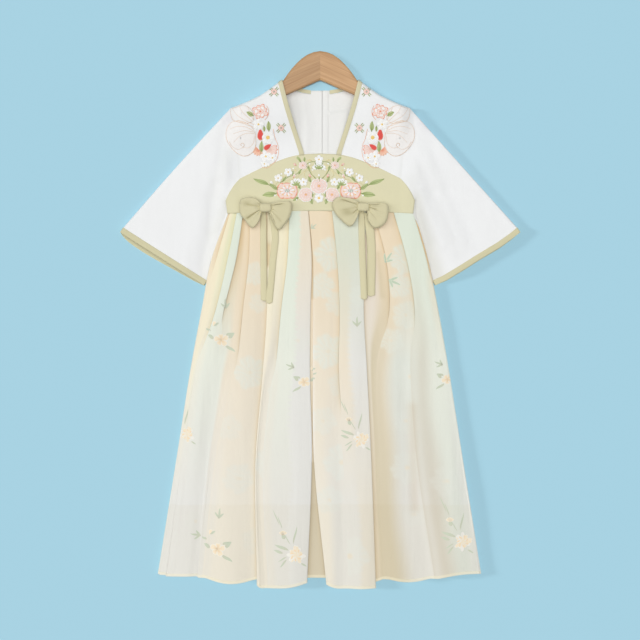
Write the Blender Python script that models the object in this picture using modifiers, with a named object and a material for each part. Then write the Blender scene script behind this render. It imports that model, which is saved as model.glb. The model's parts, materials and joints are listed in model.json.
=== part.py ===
"""A child's hanfu dress laid flat on its back, with a plain wooden hanger inside its shoulders.

Every table is in millimetres, and MM turns them into Blender's metres. The origin is on the surface that the
dress lies on, under the middle of the whole. +X is to the right across the front, +Y runs from the hem to the
neck, and +Z is up, away from the surface. Cloth is built as its middle surface and thickened to both sides.
"""

from collections import namedtuple

import bmesh
import bpy
import numpy as np

MM = 0.001
WALL = 1.1
GAP = 0.35
STEP = WALL + GAP
BACK = WALL / 2
SEAM = BACK + STEP
LINING_FRONT = SEAM + STEP
LOW = LINING_FRONT + STEP
MID = LOW + STEP
TOP = MID + STEP

# Shoulder line from the neck to the sleeve's tip, and the edges of the chest band, for the side at +X.
NECK_POINT = (57.3, 360.8)
SHOULDER_TIP = (134.9, 320.1)
SHOULDER_LINE = (NECK_POINT, (75.0, 348.0), (90.0, 338.2), (105.0, 331.0), (120.0, 324.6), SHOULDER_TIP)
SLEEVE_TIP = (295.3, 138.6)
CUFF_INNER = (170.4, 59.0)
ARMPIT = (141.5, 179.5)
BAND_CORNER = (139.0, 159.8)
NECK_INNER = ((57.3, 360.8), (49.8, 331.0), (24.2, 250.0))
BINDING_WIDTH = 7.2
CUFF_WIDTH = 8.3
CUFF_BACK_BULGE = 6.0
CUFF_FRONT_HOLLOW = 1.2
FOLD_TURN = 0.9
SLEEVE_GAP = 1.4 * GAP
UNDER_STOPS = (160.0, 138.0, 113.0, 86.0, 59.0)
BACK_NECK = ((57.3, 360.8), (45.0, 353.5), (30.0, 347.5), (14.0, 345.0))
BACK_NECK_MIDDLE = 344.5
BACK_NECK_CORNER = (62.6, 355.6)
BACK_BINDING = 5.5
PLACKET = (3.0, 12.6)
BACK_BOTTOM = 212.5
BAND_TOP = ((0.0, 250.0), (35.0, 247.3), (80.0, 231.8), (120.0, 212.5))
BAND_SIDE = ((120.0, 212.5), (124.6, 207.6), (130.0, 201.0), (136.5, 190.5), (141.5, 179.5))
BAND_EDGE = BAND_SIDE + ((140.25, 169.5), BAND_CORNER)
BAND_COLUMNS = 9
BAND_GAP = 1.2 * GAP
BODICE_COLUMNS = 8
ARMHOLE = ((134.9, 320.1), (129.4, 290.0), (123.6, 250.0), (120.0, 212.5))
ARMHOLE_SHARES = (0.0, 0.024, 0.055, 0.14, 0.25, 0.36, 0.5, 0.65, 0.82, 1.0)
FLAT_PICKS = (0, 4, 6, 8, 9)
FLAT_SHARES = tuple(ARMHOLE_SHARES[k] for k in FLAT_PICKS)
WAIST_MIDDLE = 163.8
WAIST_DROP = 4.2
WAIST_HALF = 139.0

# Heights of the front layer above the surface.
CHEST_HEIGHT = 2.7
WAIST_HEIGHT = 6.3
HANGER_CLOTH = 13.6
ROLL = 5.5
HANGER_FALL = 66.0

# Hanger board, half of it, clockwise from the top of the arch to the tip and back under the arm.
HANGER_BOTTOM = 1.5
HANGER_THICK = 11.0
HANGER_ROUND = 2.6
# Places in the table where the arch ends and where the arm's underside meets the arch's foot.
HANGER_CORNER = 6
HANGER_UNDER = 16
ARCH_POINTS = 9
ARM_POINTS = 10
HANGER_HALF = (
    (0.0, 402.3), (12.5, 400.0), (24.5, 393.6), (36.5, 382.8), (47.0, 370.5), (54.0, 360.0),
    (62.0, 351.6), (86.0, 335.2), (108.0, 324.6), (117.0, 319.4), (120.0, 313.6), (117.5, 307.4),
    (108.0, 307.6), (86.0, 316.0), (64.0, 328.0), (49.5, 337.6), (25.0, 348.0), (0.0, 359.0),
)
ARM_SPINE = ((45.0, 350.0, 13.0), (80.0, 329.0, 10.6), (117.0, 313.4, 5.6))

SIDE_LEFT = (-139.4, -163.9, -179.6, -196.9, -214.9, -244.1)
SIDE_RIGHT = (143.0, 162.5, 177.4, 190.9, 210.8, 241.9)
SIDE_HEM = -378.9
# Shares of the way from the waist to the hem where the fold tables give a place across the skirt.
DOWN = (0.0, 0.126, 0.262, 0.426, 0.645, 1.0)
ROWS = (0.0, 0.07, 0.16, 0.27, 0.38, 0.5, 0.63, 0.77, 0.9, 1.0)
BACK_ROWS = ROWS[::3]
BACK_COLUMNS = 9

# over: 1 where the cloth at the right of the fold lies on top, -1 where the cloth at its left does.
# across: place of the fold at each share in DOWN. tuck: how far the cloth doubles back under it.
# opens, opened: shares where the fold begins to open and is flat. spread: width of its soft slope there.
# valley, ridge: heights of its two sides at the hem. hem_low, hem_top: ends of its two sides at the hem.
Fold = namedtuple("Fold", "over across tuck opens opened spread valley ridge hem_low hem_top")
FOLDS = (
    Fold(1, (-135.4, -154.9, -169.9, -186.4, -204.4, -231.4), 2.5, 0.09, 0.20, 7.0, 7.4, 8.6, -380.9, -380.9),
    Fold(1, (-124.9, -138.4, -155.6, -183.4, -199.9, -220.4), 4.0, 0.29, 0.42, 9.0, 8.6, 10.6, -382.5, -382.5),
    Fold(-1, (-115.1, -125.6, -143.6, -163.9, -178.9, -195.4), 4.0, 0.24, 0.36, 10.0, 6.8, 11.0, -384.2, -384.2),
    Fold(1, (-105.4, -106.9, -115.4, -124.9, -148.9, -171.4), 7.5, 0.33, 0.48, 9.0, 6.8, 12.0, -380.8, -380.8),
    Fold(1, (-79.1, -79.0, -79.9, -85.9, -96.4, -94.9), 9.0, 2.0, 3.0, 12.0, 6.2, 11.5, -387.0, -396.9),
    Fold(1, (-46.1, -49.1, -58.4, -66.4, -79.9, -72.4), 8.0, 0.33, 0.48, 9.0, 7.8, 11.0, -401.0, -401.0),
    Fold(-1, (-17.9, -12.8, -14.5, -15.2, -12.5, -19.4), 8.0, 2.0, 3.0, 12.0, 5.6, 12.0, -384.9, -393.0),
    Fold(1, (-17.0, -11.0, -10.7, -10.4, -7.6, 13.1), 8.0, 2.0, 3.0, 12.0, 5.6, 12.0, -384.9, -395.4),
    Fold(1, (17.6, 25.1, 29.0, 27.7, 38.6, 47.6), 8.0, 0.47, 0.58, 9.0, 8.0, 11.5, -401.6, -401.6),
    Fold(-1, (68.6, 66.4, 65.2, 70.1, 76.1, 83.3), 9.0, 2.0, 3.0, 12.0, 6.2, 11.5, -392.4, -401.9),
    Fold(1, (79.9, 97.9, 103.9, 88.1, 91.1, 103.6), 7.0, 0.22, 0.40, 10.0, 6.2, 12.5, -391.5, -391.5),
    Fold(1, (109.9, 129.1, 141.2, 140.6, 148.1, 176.6), 7.0, 0.24, 0.38, 10.0, 6.8, 12.0, -386.0, -386.0),
    Fold(-1, (139.4, 158.6, 172.9, 186.4, 203.9, 231.6), 2.5, 0.13, 0.22, 7.0, 7.4, 8.8, -379.0, -379.0),
)
# What lies between two folds, from the left side to the right: how many columns of points, how high the cloth
# puffs between them at the waist and at the hem, and how far the hem dips there.
Panel = namedtuple("Panel", "columns puff_waist puff_hem dip")
PANELS = (
    Panel(0, 0.0, 0.0, 0.0),
    Panel(1, 0.3, 1.0, 0.0),
    Panel(1, 0.4, 2.0, 0.0),
    Panel(1, 0.0, -0.8, 0.0),
    Panel(2, 0.5, 5.5, 11.0),
    Panel(2, 0.5, 2.5, 2.0),
    Panel(2, 0.5, 4.0, 3.0),
    Panel(1, 0.0, -0.3, 0.0),
    Panel(2, 0.5, 3.5, 2.5),
    Panel(2, 0.5, 4.0, 0.4),
    Panel(1, 0.0, -0.3, 0.0),
    Panel(2, 0.5, 5.0, 0.0),
    Panel(2, 0.5, 4.0, -2.5),
    Panel(0, 0.0, 0.0, 0.0),
)
LEAD = 1.5
LEAD_SHARE = 0.35
ROOM_SHARE = 0.72
SIDE_TURN = ((3.6, SEAM), (0.55, SEAM + 1.3), (2.4, LOW))
BACK_SIDE = 3.2
BACK_HEM = (
    (-240.9, -375.9), (-180.4, -378.9), (-105.4, -383.0), (-30.4, -384.0), (14.6, -383.6),
    (59.6, -386.4), (119.6, -390.9), (149.6, -390.2), (179.6, -384.9), (209.6, -379.7), (238.7, -375.9),
)
LINING_INSET = 17.0
LINING_TOP = 150.0
LINING_HEM = -275.0
LINING_TURN = 1.2

# Soft ridges (height above 0) and valleys (below 0) of the sleeves, each along one line.
Crease = namedtuple("Crease", "start end width height")
CREASES = (
    Crease((-144.0, 280.0), (-154.0, 205.0), 8.0, -1.4),
    Crease((-154.0, 205.0), (-173.0, 80.0), 9.0, -1.6),
    Crease((-140.0, 230.0), (-158.0, 140.0), 9.0, 1.2),
    Crease((139.0, 252.0), (171.0, 190.0), 8.0, -1.2),
    Crease((171.0, 190.0), (203.0, 124.0), 9.0, -1.5),
    Crease((169.0, 259.0), (190.0, 193.0), 9.0, -1.2),
    Crease((190.0, 193.0), (224.0, 120.0), 10.0, -1.6),
    Crease((150.0, 194.0), (182.0, 112.0), 7.0, 1.8),
)
SLEEVE_PUFF = 4.2

# Width, height and depth of a bow's knot, and where its underside lies.
BOW_KNOT = (16.0, 12.6, 11.6)
BOW_KNOT_BOTTOM = 7.2
BOW_KNOT_ROUND = 3.4
LOOP_START = 9.2
LOOP_ROOT_HALF = 5.2
LOOP_BULGE = 0.14
LOOP_BOTTOM = 11.6
LOOP_EDGE = 1.7
LOOP_TOP = 3.4
LOOP_CROWN = 5.0
LOOP_ROWS = 5
LOOP_STEPS = 5
TAIL_WIDTH = 9.4
TAIL_TOP_SHARE = 0.55
TAIL_ROWS = 13
TAIL_CLEAR = 0.15
# Outer corners of each loop from the knot's middle (top, bottom), and each tail's top, middle and end.
Bow = namedtuple("Bow", "name middle left right left_tail right_tail")
BOWS = (
    Bow(
        "bow_left", (-81.7, 168.0),
        ((-37.5, 12.5), (-20.5, -29.5)), ((36.5, 11.5), (23.5, -31.5)),
        ((-4.8, -8.0), (-4.4, -60.0), (-4.4, -137.0)), ((4.8, -8.0), (11.5, -45.0), (5.7, -141.0)),
    ),
    Bow(
        "bow_right", (64.0, 169.0),
        ((-43.5, 10.5), (-19.0, -29.0)), ((35.5, 5.5), (20.5, -32.0)),
        ((-4.8, -8.0), (-1.0, -60.0), (1.6, -135.0)), ((5.2, -8.0), (11.8, -45.0), (12.0, -131.0)),
    ),
)

PETAL_LIFT = 1.9
PETAL_POINTS = 12
PETAL_RINGS = (0.25, 0.64, 1.0)
# Outline of each organza petal on the side at +X, and its middle.
PETALS = (
    ("upper", (121.5, 308.5), (
        (131.0, 314.8), (119.5, 322.0), (109.5, 320.0), (105.0, 310.0), (107.5, 300.2), (119.0, 297.8),
        (131.0, 299.6),
    )),
    ("lower", (120.5, 271.5), (
        (124.3, 294.6), (136.0, 291.0), (140.5, 279.0), (137.0, 264.5), (126.0, 252.5), (112.3, 248.6),
        (102.0, 257.5), (99.0, 272.0), (101.5, 284.0), (112.0, 291.5),
    )),
)

MATERIALS = {
    "white_crepe": ((0.86, 0.87, 0.87), 0.85, 0.0),
    "sage_binding": ((0.60, 0.57, 0.31), 0.8, 0.0),
    "sage_crepe": ((0.70, 0.66, 0.44), 0.8, 0.0),
    "printed_chiffon": ((0.80, 0.76, 0.62), 0.75, 0.0),
    "white_lining": ((0.85, 0.85, 0.82), 0.8, 0.0),
    "organza": ((0.82, 0.76, 0.70), 0.5, 0.0),
    "beech": ((0.52, 0.33, 0.18), 0.5, 0.0),
}


def clear_scene():
    for old in list(bpy.data.objects):
        bpy.data.objects.remove(old, do_unlink=True)


def make_material(name):
    colour, roughness, metallic = MATERIALS[name]
    material = bpy.data.materials.new(name)
    material.use_nodes = True
    shader = material.node_tree.nodes["Principled BSDF"]
    shader.inputs["Base Color"].default_value = (*colour, 1.0)
    shader.inputs["Roughness"].default_value = roughness
    shader.inputs["Metallic"].default_value = metallic
    return material


def smooth(x):
    """0 below 0, 1 above 1, and an even curve between them."""
    x = np.clip(x, 0.0, 1.0)
    return x * x * (3.0 - 2.0 * x)


def along(stations, values, at):
    """Reads a smooth curve through the values at the stations, which rise."""
    stations = np.asarray(stations, float)
    values = np.asarray(values, float)
    at = np.clip(np.asarray(at, float), stations[0], stations[-1])
    slopes = np.gradient(values, stations, axis=0)
    i = np.clip(np.searchsorted(stations, at, side="right") - 1, 0, len(stations) - 2)
    span = stations[i + 1] - stations[i]
    t = (at - stations[i]) / span
    if values.ndim > 1:
        span = span[..., None]
        t = t[..., None]
    start = values[i] * (1 + 2 * t) * (1 - t) ** 2 + slopes[i] * span * t * (1 - t) ** 2
    end = values[i + 1] * t * t * (3 - 2 * t) - slopes[i + 1] * span * t * t * (1 - t)
    return start + end


def shares(edge):
    """How far along an edge each of its points is, from 0 to 1."""
    lengths = np.linalg.norm(np.diff(edge, axis=0), axis=1)
    return np.concatenate([[0.0], np.cumsum(lengths)]) / lengths.sum()


def trace(edge, at):
    """Points at the given shares of a smooth curve through an edge's points."""
    edge = np.asarray(edge, float)
    return along(shares(edge), edge, np.asarray(at, float))


def chord(edge, at):
    """Points at the given shares of the straight runs between an edge's points."""
    edge = np.asarray(edge, float)
    where = shares(edge)
    return np.stack([np.interp(at, where, edge[:, k]) for k in range(edge.shape[1])], axis=-1)


def coons(top, bottom, left, right):
    """Grid inside four edges. Top and bottom run left to right, left and right run top to bottom."""
    u = ((shares(top) + shares(bottom)) / 2)[None, :, None]
    v = ((shares(left) + shares(right)) / 2)[:, None, None]
    across = (1 - v) * top[None] + v * bottom[None]
    down = (1 - u) * left[:, None] + u * right[:, None]
    corners = (1 - v) * ((1 - u) * top[0] + u * top[-1]) + v * ((1 - u) * bottom[0] + u * bottom[-1])
    return across + down - corners


def mirrored(points, side):
    """The points themselves for side 1, and their mirror image for side -1."""
    points = np.array(points, float)
    points[..., 0] *= side
    return points


def line_distance(x, y, line):
    """Distance of each point from a run of straight lines."""
    best = np.full(np.broadcast(x, y).shape, np.inf)
    for (ax, ay), (bx, by) in zip(line, line[1:]):
        dx = bx - ax
        dy = by - ay
        t = np.clip(((x - ax) * dx + (y - ay) * dy) / (dx * dx + dy * dy), 0.0, 1.0)
        best = np.minimum(best, np.hypot(x - ax - t * dx, y - ay - t * dy))
    return best


def roll(distance, reach):
    """Rise of cloth that turns up from a folded edge, 0 at the edge and 1 past its reach."""
    t = np.clip(distance / reach, 0.0, 1.0)
    return np.sqrt(1.0 - (1.0 - t) ** 2)


def skirt_side(side, y):
    share = (WAIST_MIDDLE - WAIST_DROP - np.asarray(y, float)) / (WAIST_MIDDLE - WAIST_DROP - SIDE_HEM)
    return along(DOWN, SIDE_RIGHT if side > 0 else SIDE_LEFT, share)


def under_edge(side, y):
    """The sleeve's underarm seam, just outside the side of the band and the skirt."""
    band = np.interp(y, (BAND_CORNER[1], ARMPIT[1]), (BAND_CORNER[0], ARMPIT[0]))
    return side * np.maximum(band, side * skirt_side(side, y)) + side * 2 * GAP


def under_line(side):
    heights = (ARMPIT[1], 160.0, 125.0, 90.0, CUFF_INNER[1])
    return [(float(under_edge(side, y)), y) for y in heights]


def arm_distance(x, y):
    """Distance outside the hanger's arm, seen from above."""
    best = np.full(np.broadcast(x, y).shape, np.inf)
    for (ax, ay, aw), (bx, by, bw) in zip(ARM_SPINE, ARM_SPINE[1:]):
        dx = bx - ax
        dy = by - ay
        t = np.clip(((np.abs(x) - ax) * dx + (y - ay) * dy) / (dx * dx + dy * dy), 0.0, 1.0)
        reach = np.hypot(np.abs(x) - ax - t * dx, y - ay - t * dy)
        best = np.minimum(best, reach - (aw + t * (bw - aw)))
    return best


def crease_height(x, y):
    total = np.zeros(np.broadcast(x, y).shape)
    for crease in CREASES:
        (ax, ay), (bx, by) = crease.start, crease.end
        dx = bx - ax
        dy = by - ay
        t = ((x - ax) * dx + (y - ay) * dy) / (dx * dx + dy * dy)
        away = np.hypot(x - ax - np.clip(t, 0, 1) * dx, y - ay - np.clip(t, 0, 1) * dy)
        total = total + crease.height * np.exp(-((away / crease.width) ** 2))
    return total


def front_height(x, y):
    """Height of the middle of the front layer of bodice, chest band and sleeves."""
    x = np.asarray(x, float)
    y = np.asarray(y, float)
    body = smooth((168.0 - np.abs(x)) / 30.0)
    base = CHEST_HEIGHT + (WAIST_HEIGHT - CHEST_HEIGHT) * smooth((250.0 - y) / 86.0) * body
    lines = [under_line(-1), under_line(1)]
    under = np.where(x < 0, line_distance(x, y, lines[0]), line_distance(x, y, lines[1]))
    top_line = (*SHOULDER_LINE, SLEEVE_TIP)
    top = line_distance(np.abs(x), y, top_line)
    arm = smooth((np.abs(x) - 118.0) / 30.0)
    puff = SLEEVE_PUFF * arm * smooth(top / 45.0) * smooth(under / 40.0)
    creases = crease_height(x, y) * arm * smooth(top / 25.0) * smooth(under / 8.0)
    lift = (HANGER_CLOTH - base) * (1.0 - smooth((arm_distance(x, y) - 4.0) / HANGER_FALL))
    height = base + puff + creases + np.maximum(lift, 0.0)
    edge = roll(top, ROLL)
    open_side = smooth((y - ARMPIT[1]) / 25.0)
    side_edge = roll(under, ROLL) + open_side * (1.0 - roll(under, ROLL))
    return SEAM + (height - SEAM) * np.minimum(edge, side_edge)


def with_height(plan, height=None):
    """Adds the front layer's height, or a given one, to points seen from above."""
    z = front_height(plan[..., 0], plan[..., 1]) if height is None else np.full(plan.shape[:-1], height)
    return np.concatenate([plan, z[..., None]], axis=-1)


def add_object(name, mesh, material):
    obj = bpy.data.objects.new(name, mesh)
    mesh.materials.append(material)
    dress.objects.link(obj)
    mesh.shade_smooth()
    return obj


def sheet(name, points, material, wall=WALL, ring=False, cap=False):
    """A cloth piece: the surface through a grid of points, closed round on itself where it is a ring."""
    rows, columns = points.shape[:2]
    faces = [tuple(range(columns))[::-1]] if cap else []
    for r in range(rows - 1):
        for c in range(columns if ring else columns - 1):
            here = r * columns + c
            beside = r * columns + (c + 1) % columns
            faces.append((here, beside, beside + columns, here + columns))
    mesh = bpy.data.meshes.new(name)
    mesh.from_pydata((points.reshape(-1, 3) * MM).tolist(), [], faces)
    obj = add_object(name, mesh, material)
    thicken = obj.modifiers.new("wall", "SOLIDIFY")
    thicken.thickness = wall * MM
    thicken.offset = 0.0
    return obj


def waist(x):
    return WAIST_MIDDLE - WAIST_DROP * (np.asarray(x, float) / WAIST_HALF) ** 2


def fold_points(fold, share, lead, room):
    """The five points of a fold's section at each share: places across and heights, from left to right."""
    centre = along(DOWN, fold.across, share)
    opening = smooth((share - fold.opens) / (fold.opened - fold.opens))
    settle = share ** 0.7
    low = LOW + (fold.valley - LOW) * settle
    top = TOP + (fold.ridge - TOP) * settle
    middle = (low + top) / 2
    shut = (-lead, fold.tuck, fold.tuck, 0.0, 0.0)
    spread = np.minimum(fold.spread, room)
    wide = [-spread * k for k in (1.25, 1.0, 2 / 3, 1 / 3, 0.0)]
    offsets = [a + (b - a) * opening for a, b in zip(shut, wide)]
    heights = (low, low, middle + (low - middle) * opening / 3, middle + (top - middle) * opening / 3, top)
    if fold.over > 0:
        return [(centre + offset, height) for offset, height in zip(offsets, heights)]
    return [(centre - offset, height) for offset, height in reversed(list(zip(offsets, heights)))]


def skirt_columns(share):
    """Every column of the skirt's front at the given shares: place across, height and where its hem is."""
    share = np.asarray(share, float)
    left = along(DOWN, SIDE_LEFT, share)
    right = along(DOWN, SIDE_RIGHT, share)
    loft = 1.0 + 0.5 * share
    side = [(inset, height * (loft if k else 1.0)) for k, (inset, height) in enumerate(SIDE_TURN)]
    columns = [(left + inset, height, SIDE_HEM) for inset, height in side]
    centres = [left + SIDE_TURN[-1][0]] + [along(DOWN, fold.across, share) for fold in FOLDS]
    centres.append(right - SIDE_TURN[-1][0])
    for k, fold in enumerate(FOLDS):
        under = k if fold.over > 0 else k + 2
        gap = np.abs(centres[k + 1] - centres[under])
        beside = 0 < under < len(FOLDS) + 1 and FOLDS[under - 1].over != fold.over
        lead = np.minimum(LEAD, LEAD_SHARE * gap)
        room = gap * (ROOM_SHARE / 2 if beside else ROOM_SHARE)
        points = fold_points(fold, share, lead, room)
        hems = [fold.hem_low, fold.hem_low, fold.hem_low, fold.hem_top, fold.hem_top]
        if fold.over < 0:
            hems.reverse()
        panel = PANELS[k]
        before = columns[-1]
        for n in range(panel.columns):
            f = (n + 1) / (panel.columns + 1)
            bulge = 4 * f * (1 - f)
            puff = (panel.puff_waist + (panel.puff_hem - panel.puff_waist) * share ** 1.2) * bulge
            across = before[0] + f * (points[0][0] - before[0])
            height = before[1] + f * (points[0][1] - before[1]) + puff
            columns.append((across, height, before[2] + f * (hems[0] - before[2]) - panel.dip * bulge))
        columns += [(across, height, hem) for (across, height), hem in zip(points, hems)]
    return columns + [(right - inset, height, SIDE_HEM) for inset, height in reversed(side)]


def skirt_front_grid(rows):
    """Grid of points of the skirt's front, a row for each share."""
    share = np.asarray(rows, float)
    grid = []
    for across, height, hem in skirt_columns(share):
        start = waist(across[0]) - GAP
        grid.append(np.stack(np.broadcast_arrays(across, start + share * (hem - start), height), axis=-1))
    return np.stack(grid, axis=1)


def skirt_height(x, y, reach):
    """Highest point of the skirt's front within a reach to either side of x."""
    share = np.clip((WAIST_MIDDLE - y) / (WAIST_MIDDLE + 390.0), 0.0, 1.0)
    columns = skirt_columns(np.array([share]))
    across = np.array([c[0][0] for c in columns])
    heights = np.array([float(np.ravel(c[1])[0]) for c in columns])
    best = 0.0
    for at in np.linspace(x - reach, x + reach, 7):
        for k in range(len(across) - 1):
            low, high = sorted((across[k], across[k + 1]))
            if low <= at <= high:
                t = (at - across[k]) / (across[k + 1] - across[k]) if high > low else 0.0
                best = max(best, heights[k] + t * (heights[k + 1] - heights[k]))
    return best


def skirt_front():
    sheet("skirt_front", skirt_front_grid(ROWS), materials["printed_chiffon"])


def skirt_back():
    share = np.array(BACK_ROWS)
    hem = np.array(BACK_HEM)
    top_left = along(DOWN, SIDE_LEFT, share) + BACK_SIDE
    top_right = along(DOWN, SIDE_RIGHT, share) - BACK_SIDE
    grid = []
    for f in np.linspace(0.0, 1.0, BACK_COLUMNS):
        across = top_left + f * (top_right - top_left)
        end = np.interp(across[-1], hem[:, 0], hem[:, 1])
        start = waist(across[0]) - GAP
        y = start + share * (end - start)
        grid.append(np.stack([across, y, np.full(share.shape, BACK)], axis=-1))
    sheet("skirt_back", np.stack(grid, axis=1), materials["printed_chiffon"])


def skirt_lining():
    """A flattened tube between the skirt's front and back, shorter than both."""
    y = np.linspace(LINING_TOP, LINING_HEM, 7)
    left = skirt_side(-1, y) + LINING_INSET
    right = skirt_side(1, y) - LINING_INSET
    middle = (SEAM + LINING_FRONT) / 2
    turn = LINING_TURN
    centre = (left + right) / 2
    loop = [(left, middle), (left + turn, LINING_FRONT), (centre, LINING_FRONT), (right - turn, LINING_FRONT)]
    loop += [(right, middle), (right - turn, SEAM), (centre, SEAM), (left + turn, SEAM)]
    grid = [np.stack([x, y, np.full(y.shape, z)], axis=-1) for x, z in loop]
    sheet("skirt_lining", np.stack(grid, axis=1), materials["white_lining"], ring=True)


def band_edges(side):
    """Bottom, top and side of one half of the chest band, from the middle outwards and from top to bottom."""
    side_edge = np.array(BAND_EDGE)
    spread = np.linspace(0.0, 1.0, BAND_COLUMNS)
    top = trace(BAND_TOP, spread)
    bottom = np.stack([spread * BAND_CORNER[0], waist(spread * BAND_CORNER[0])], axis=-1)
    middle = np.linspace(top[0], bottom[0], len(side_edge))
    return mirrored(top, side), mirrored(bottom, side), mirrored(middle, side), mirrored(side_edge, side)


def chest_bands():
    halves = []
    for side in (-1, 1):
        top, bottom, middle, edge = band_edges(side)
        halves.append(coons(top, bottom, middle, edge))
    plan = np.concatenate([halves[0][:, :0:-1], halves[1]], axis=1)
    sheet("chest_band_front", with_height(plan), materials["sage_crepe"])
    edge = np.array(BAND_EDGE)
    across = np.linspace(-1.0, 1.0, BAND_COLUMNS)
    lifts = np.linspace(1.0, 0.0, len(edge))[:, None]
    x = across[None, :] * edge[:, :1]
    drop = waist(across * BAND_CORNER[0]) - BAND_CORNER[1]
    y = edge[:, 1:] + (1.0 - lifts) * drop[None, :]
    sheet("chest_band_back", with_height(np.stack([x, y], axis=-1), BACK), materials["sage_crepe"])


def armhole(side, outwards=0.0, where=ARMHOLE_SHARES):
    """Points of the armhole seam from the shoulder's tip to the chest band's corner."""
    points = chord(ARMHOLE, where)
    points[:, 0] += outwards
    return mirrored(points, side)


def neck_line(side, width, rows):
    """The neck opening's edge moved outwards by a width, from the shoulder down to the chest band."""
    line = trace(NECK_INNER, rows)
    top = np.array(NECK_POINT)
    run = np.array(SHOULDER_LINE[1]) - top
    slope = run / np.linalg.norm(run)
    start = slope * width
    end = np.array([width, 0.0])
    shift = start[None] + np.asarray(rows)[:, None] * (end - start)[None]
    return mirrored(line + shift, side)


def bodice_front(side, name):
    rows = np.array(ARMHOLE_SHARES)
    inner = neck_line(side, BINDING_WIDTH + GAP, rows)
    outer = armhole(side)
    across = np.linspace(0.0, 1.0, BODICE_COLUMNS)
    start = np.abs(inner[0, 0])
    shoulder = chord(((start, float(inner[0, 1])), *SHOULDER_LINE[1:]), across)
    ends = np.linspace(np.abs(inner[-1, 0]), BAND_TOP[-1][0], len(across))
    table = np.array(BAND_TOP)
    bottom = np.stack([ends, along(table[:, 0], table[:, 1], ends) + BAND_GAP], axis=-1)
    inner[-1] = mirrored(bottom[0], side)
    outer[-1] = mirrored(bottom[-1], side)
    plan = coons(mirrored(shoulder, side), mirrored(bottom, side), inner, outer)
    sheet(f"bodice_front_{name}", with_height(plan), materials["white_crepe"])


def neck_binding_front(side, name):
    rows = np.array(ARMHOLE_SHARES)
    lines = [neck_line(side, width, rows) for width in (0.0, BINDING_WIDTH / 2, BINDING_WIDTH)]
    plan = np.stack(lines, axis=1)
    table = np.array(BAND_TOP)
    plan[-1, :, 1] = along(table[:, 0], table[:, 1], np.abs(plan[-1, :, 0])) + BAND_GAP
    sheet(f"neck_binding_front_{name}", with_height(plan), materials["sage_binding"])


def bodice_back(side, name, centre):
    """A flat back panel from the armhole to the centre-back placket, cut round the back neck."""
    rows = np.array(FLAT_SHARES)
    outer = armhole(side, where=FLAT_SHARES)
    neck = np.array(BACK_NECK[::-1])
    neck[:, 1] -= BACK_BINDING + GAP
    start = side * centre
    end = neck[0, 0] - GAP
    if start < end - GAP:
        top = [(start, BACK_NECK_MIDDLE), (end - GAP, BACK_NECK_MIDDLE), (end, neck[0, 1])]
    else:
        top = [(start, neck[0, 1])]
    top = np.array([*top, *neck, BACK_NECK_CORNER, *SHOULDER_LINE[1:]])
    across = shares(top)
    bottom_y = np.full(len(across), BACK_BOTTOM + GAP)
    bottom = np.stack([start + across * (BAND_TOP[-1][0] - start), bottom_y], axis=-1)
    inner_y = top[0, 1] + rows * (bottom[0, 1] - top[0, 1])
    inner = np.stack([np.full(len(rows), side * centre), inner_y], axis=-1)
    plan = coons(mirrored(top, side), mirrored(bottom, side), mirrored(inner, side), outer)
    sheet(f"bodice_back_{name}", with_height(plan, BACK), materials["white_crepe"])


def back_placket():
    x = np.linspace(PLACKET[0] + GAP, PLACKET[1] - GAP, 3)
    y = np.linspace(BACK_NECK_MIDDLE, BACK_BOTTOM + GAP, 6)
    plan = np.stack(np.meshgrid(x, y), axis=-1)
    sheet("back_placket", with_height(plan, BACK), materials["white_crepe"])


def neck_binding_back(side, name):
    line = chord(BACK_NECK, np.linspace(0.0, 1.0, 8))
    lower = line - np.array((0.0, BACK_BINDING))
    plan = np.stack([mirrored(line, side), mirrored((line + lower) / 2, side), mirrored(lower, side)], axis=1)
    sheet(f"neck_binding_back_{name}", with_height(plan, BACK), materials["sage_binding"])


def sleeve_plan(side):
    """Front and back of the flattened sleeve seen from above, from the armhole to the cuff."""
    near = armhole(1, SLEEVE_GAP)
    under = [(x + SLEEVE_GAP, y) for x, y in BAND_SIDE]
    under += [(side * float(under_edge(side, y)), y) for y in UNDER_STOPS]
    under = np.array(under)
    under[0] = near[-1]
    top = chord((SHOULDER_TIP, SLEEVE_TIP), shares(under))
    top[0] = near[0]
    far = chord((SLEEVE_TIP, under[-1]), ARMHOLE_SHARES)
    plan = coons(top, under, near, far)
    run = far[-1] - far[0]
    out = np.array([-run[1], run[0]]) / np.linalg.norm(run)
    bulge = shares(under)[None, :, None] ** 2 * np.sin(np.pi * shares(near))[:, None, None] * out
    return plan - CUFF_FRONT_HOLLOW * bulge, plan + CUFF_BACK_BULGE * bulge, out


def sleeve_sections(side):
    """Closed sections round the sleeve, one for each stop along it, and the way out of the cuff."""
    front, back, out = sleeve_plan(side)
    sections = []
    for k in range(front.shape[1]):
        sections.append(closed_section(side, front[:, k], back[:, k]))
    return np.stack(sections), front[:, -1], back[:, -1], out


def closed_section(side, front, back):
    """A section round a flattened tube: over its front, round the underarm fold, and back underneath."""
    span = (front[-1] - front[0]) / np.linalg.norm(front[-1] - front[0])
    upper = front.copy()
    upper[0] += span * FOLD_TURN
    upper[-1] -= span * FOLD_TURN
    lower = back[list(FLAT_PICKS)].copy()
    lower[0] += span * FOLD_TURN
    lower[-1] -= span * FOLD_TURN
    over = with_height(mirrored(upper, side))
    over[:, 2] = np.maximum(over[:, 2], SEAM)
    start = with_height(mirrored(front[:1], side), (over[0, 2] + BACK) / 2)
    end = with_height(mirrored(front[-1:], side), (over[-1, 2] + BACK) / 2)
    return np.concatenate([start, over, end, with_height(mirrored(lower[::-1], side), BACK)], axis=0)


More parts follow.
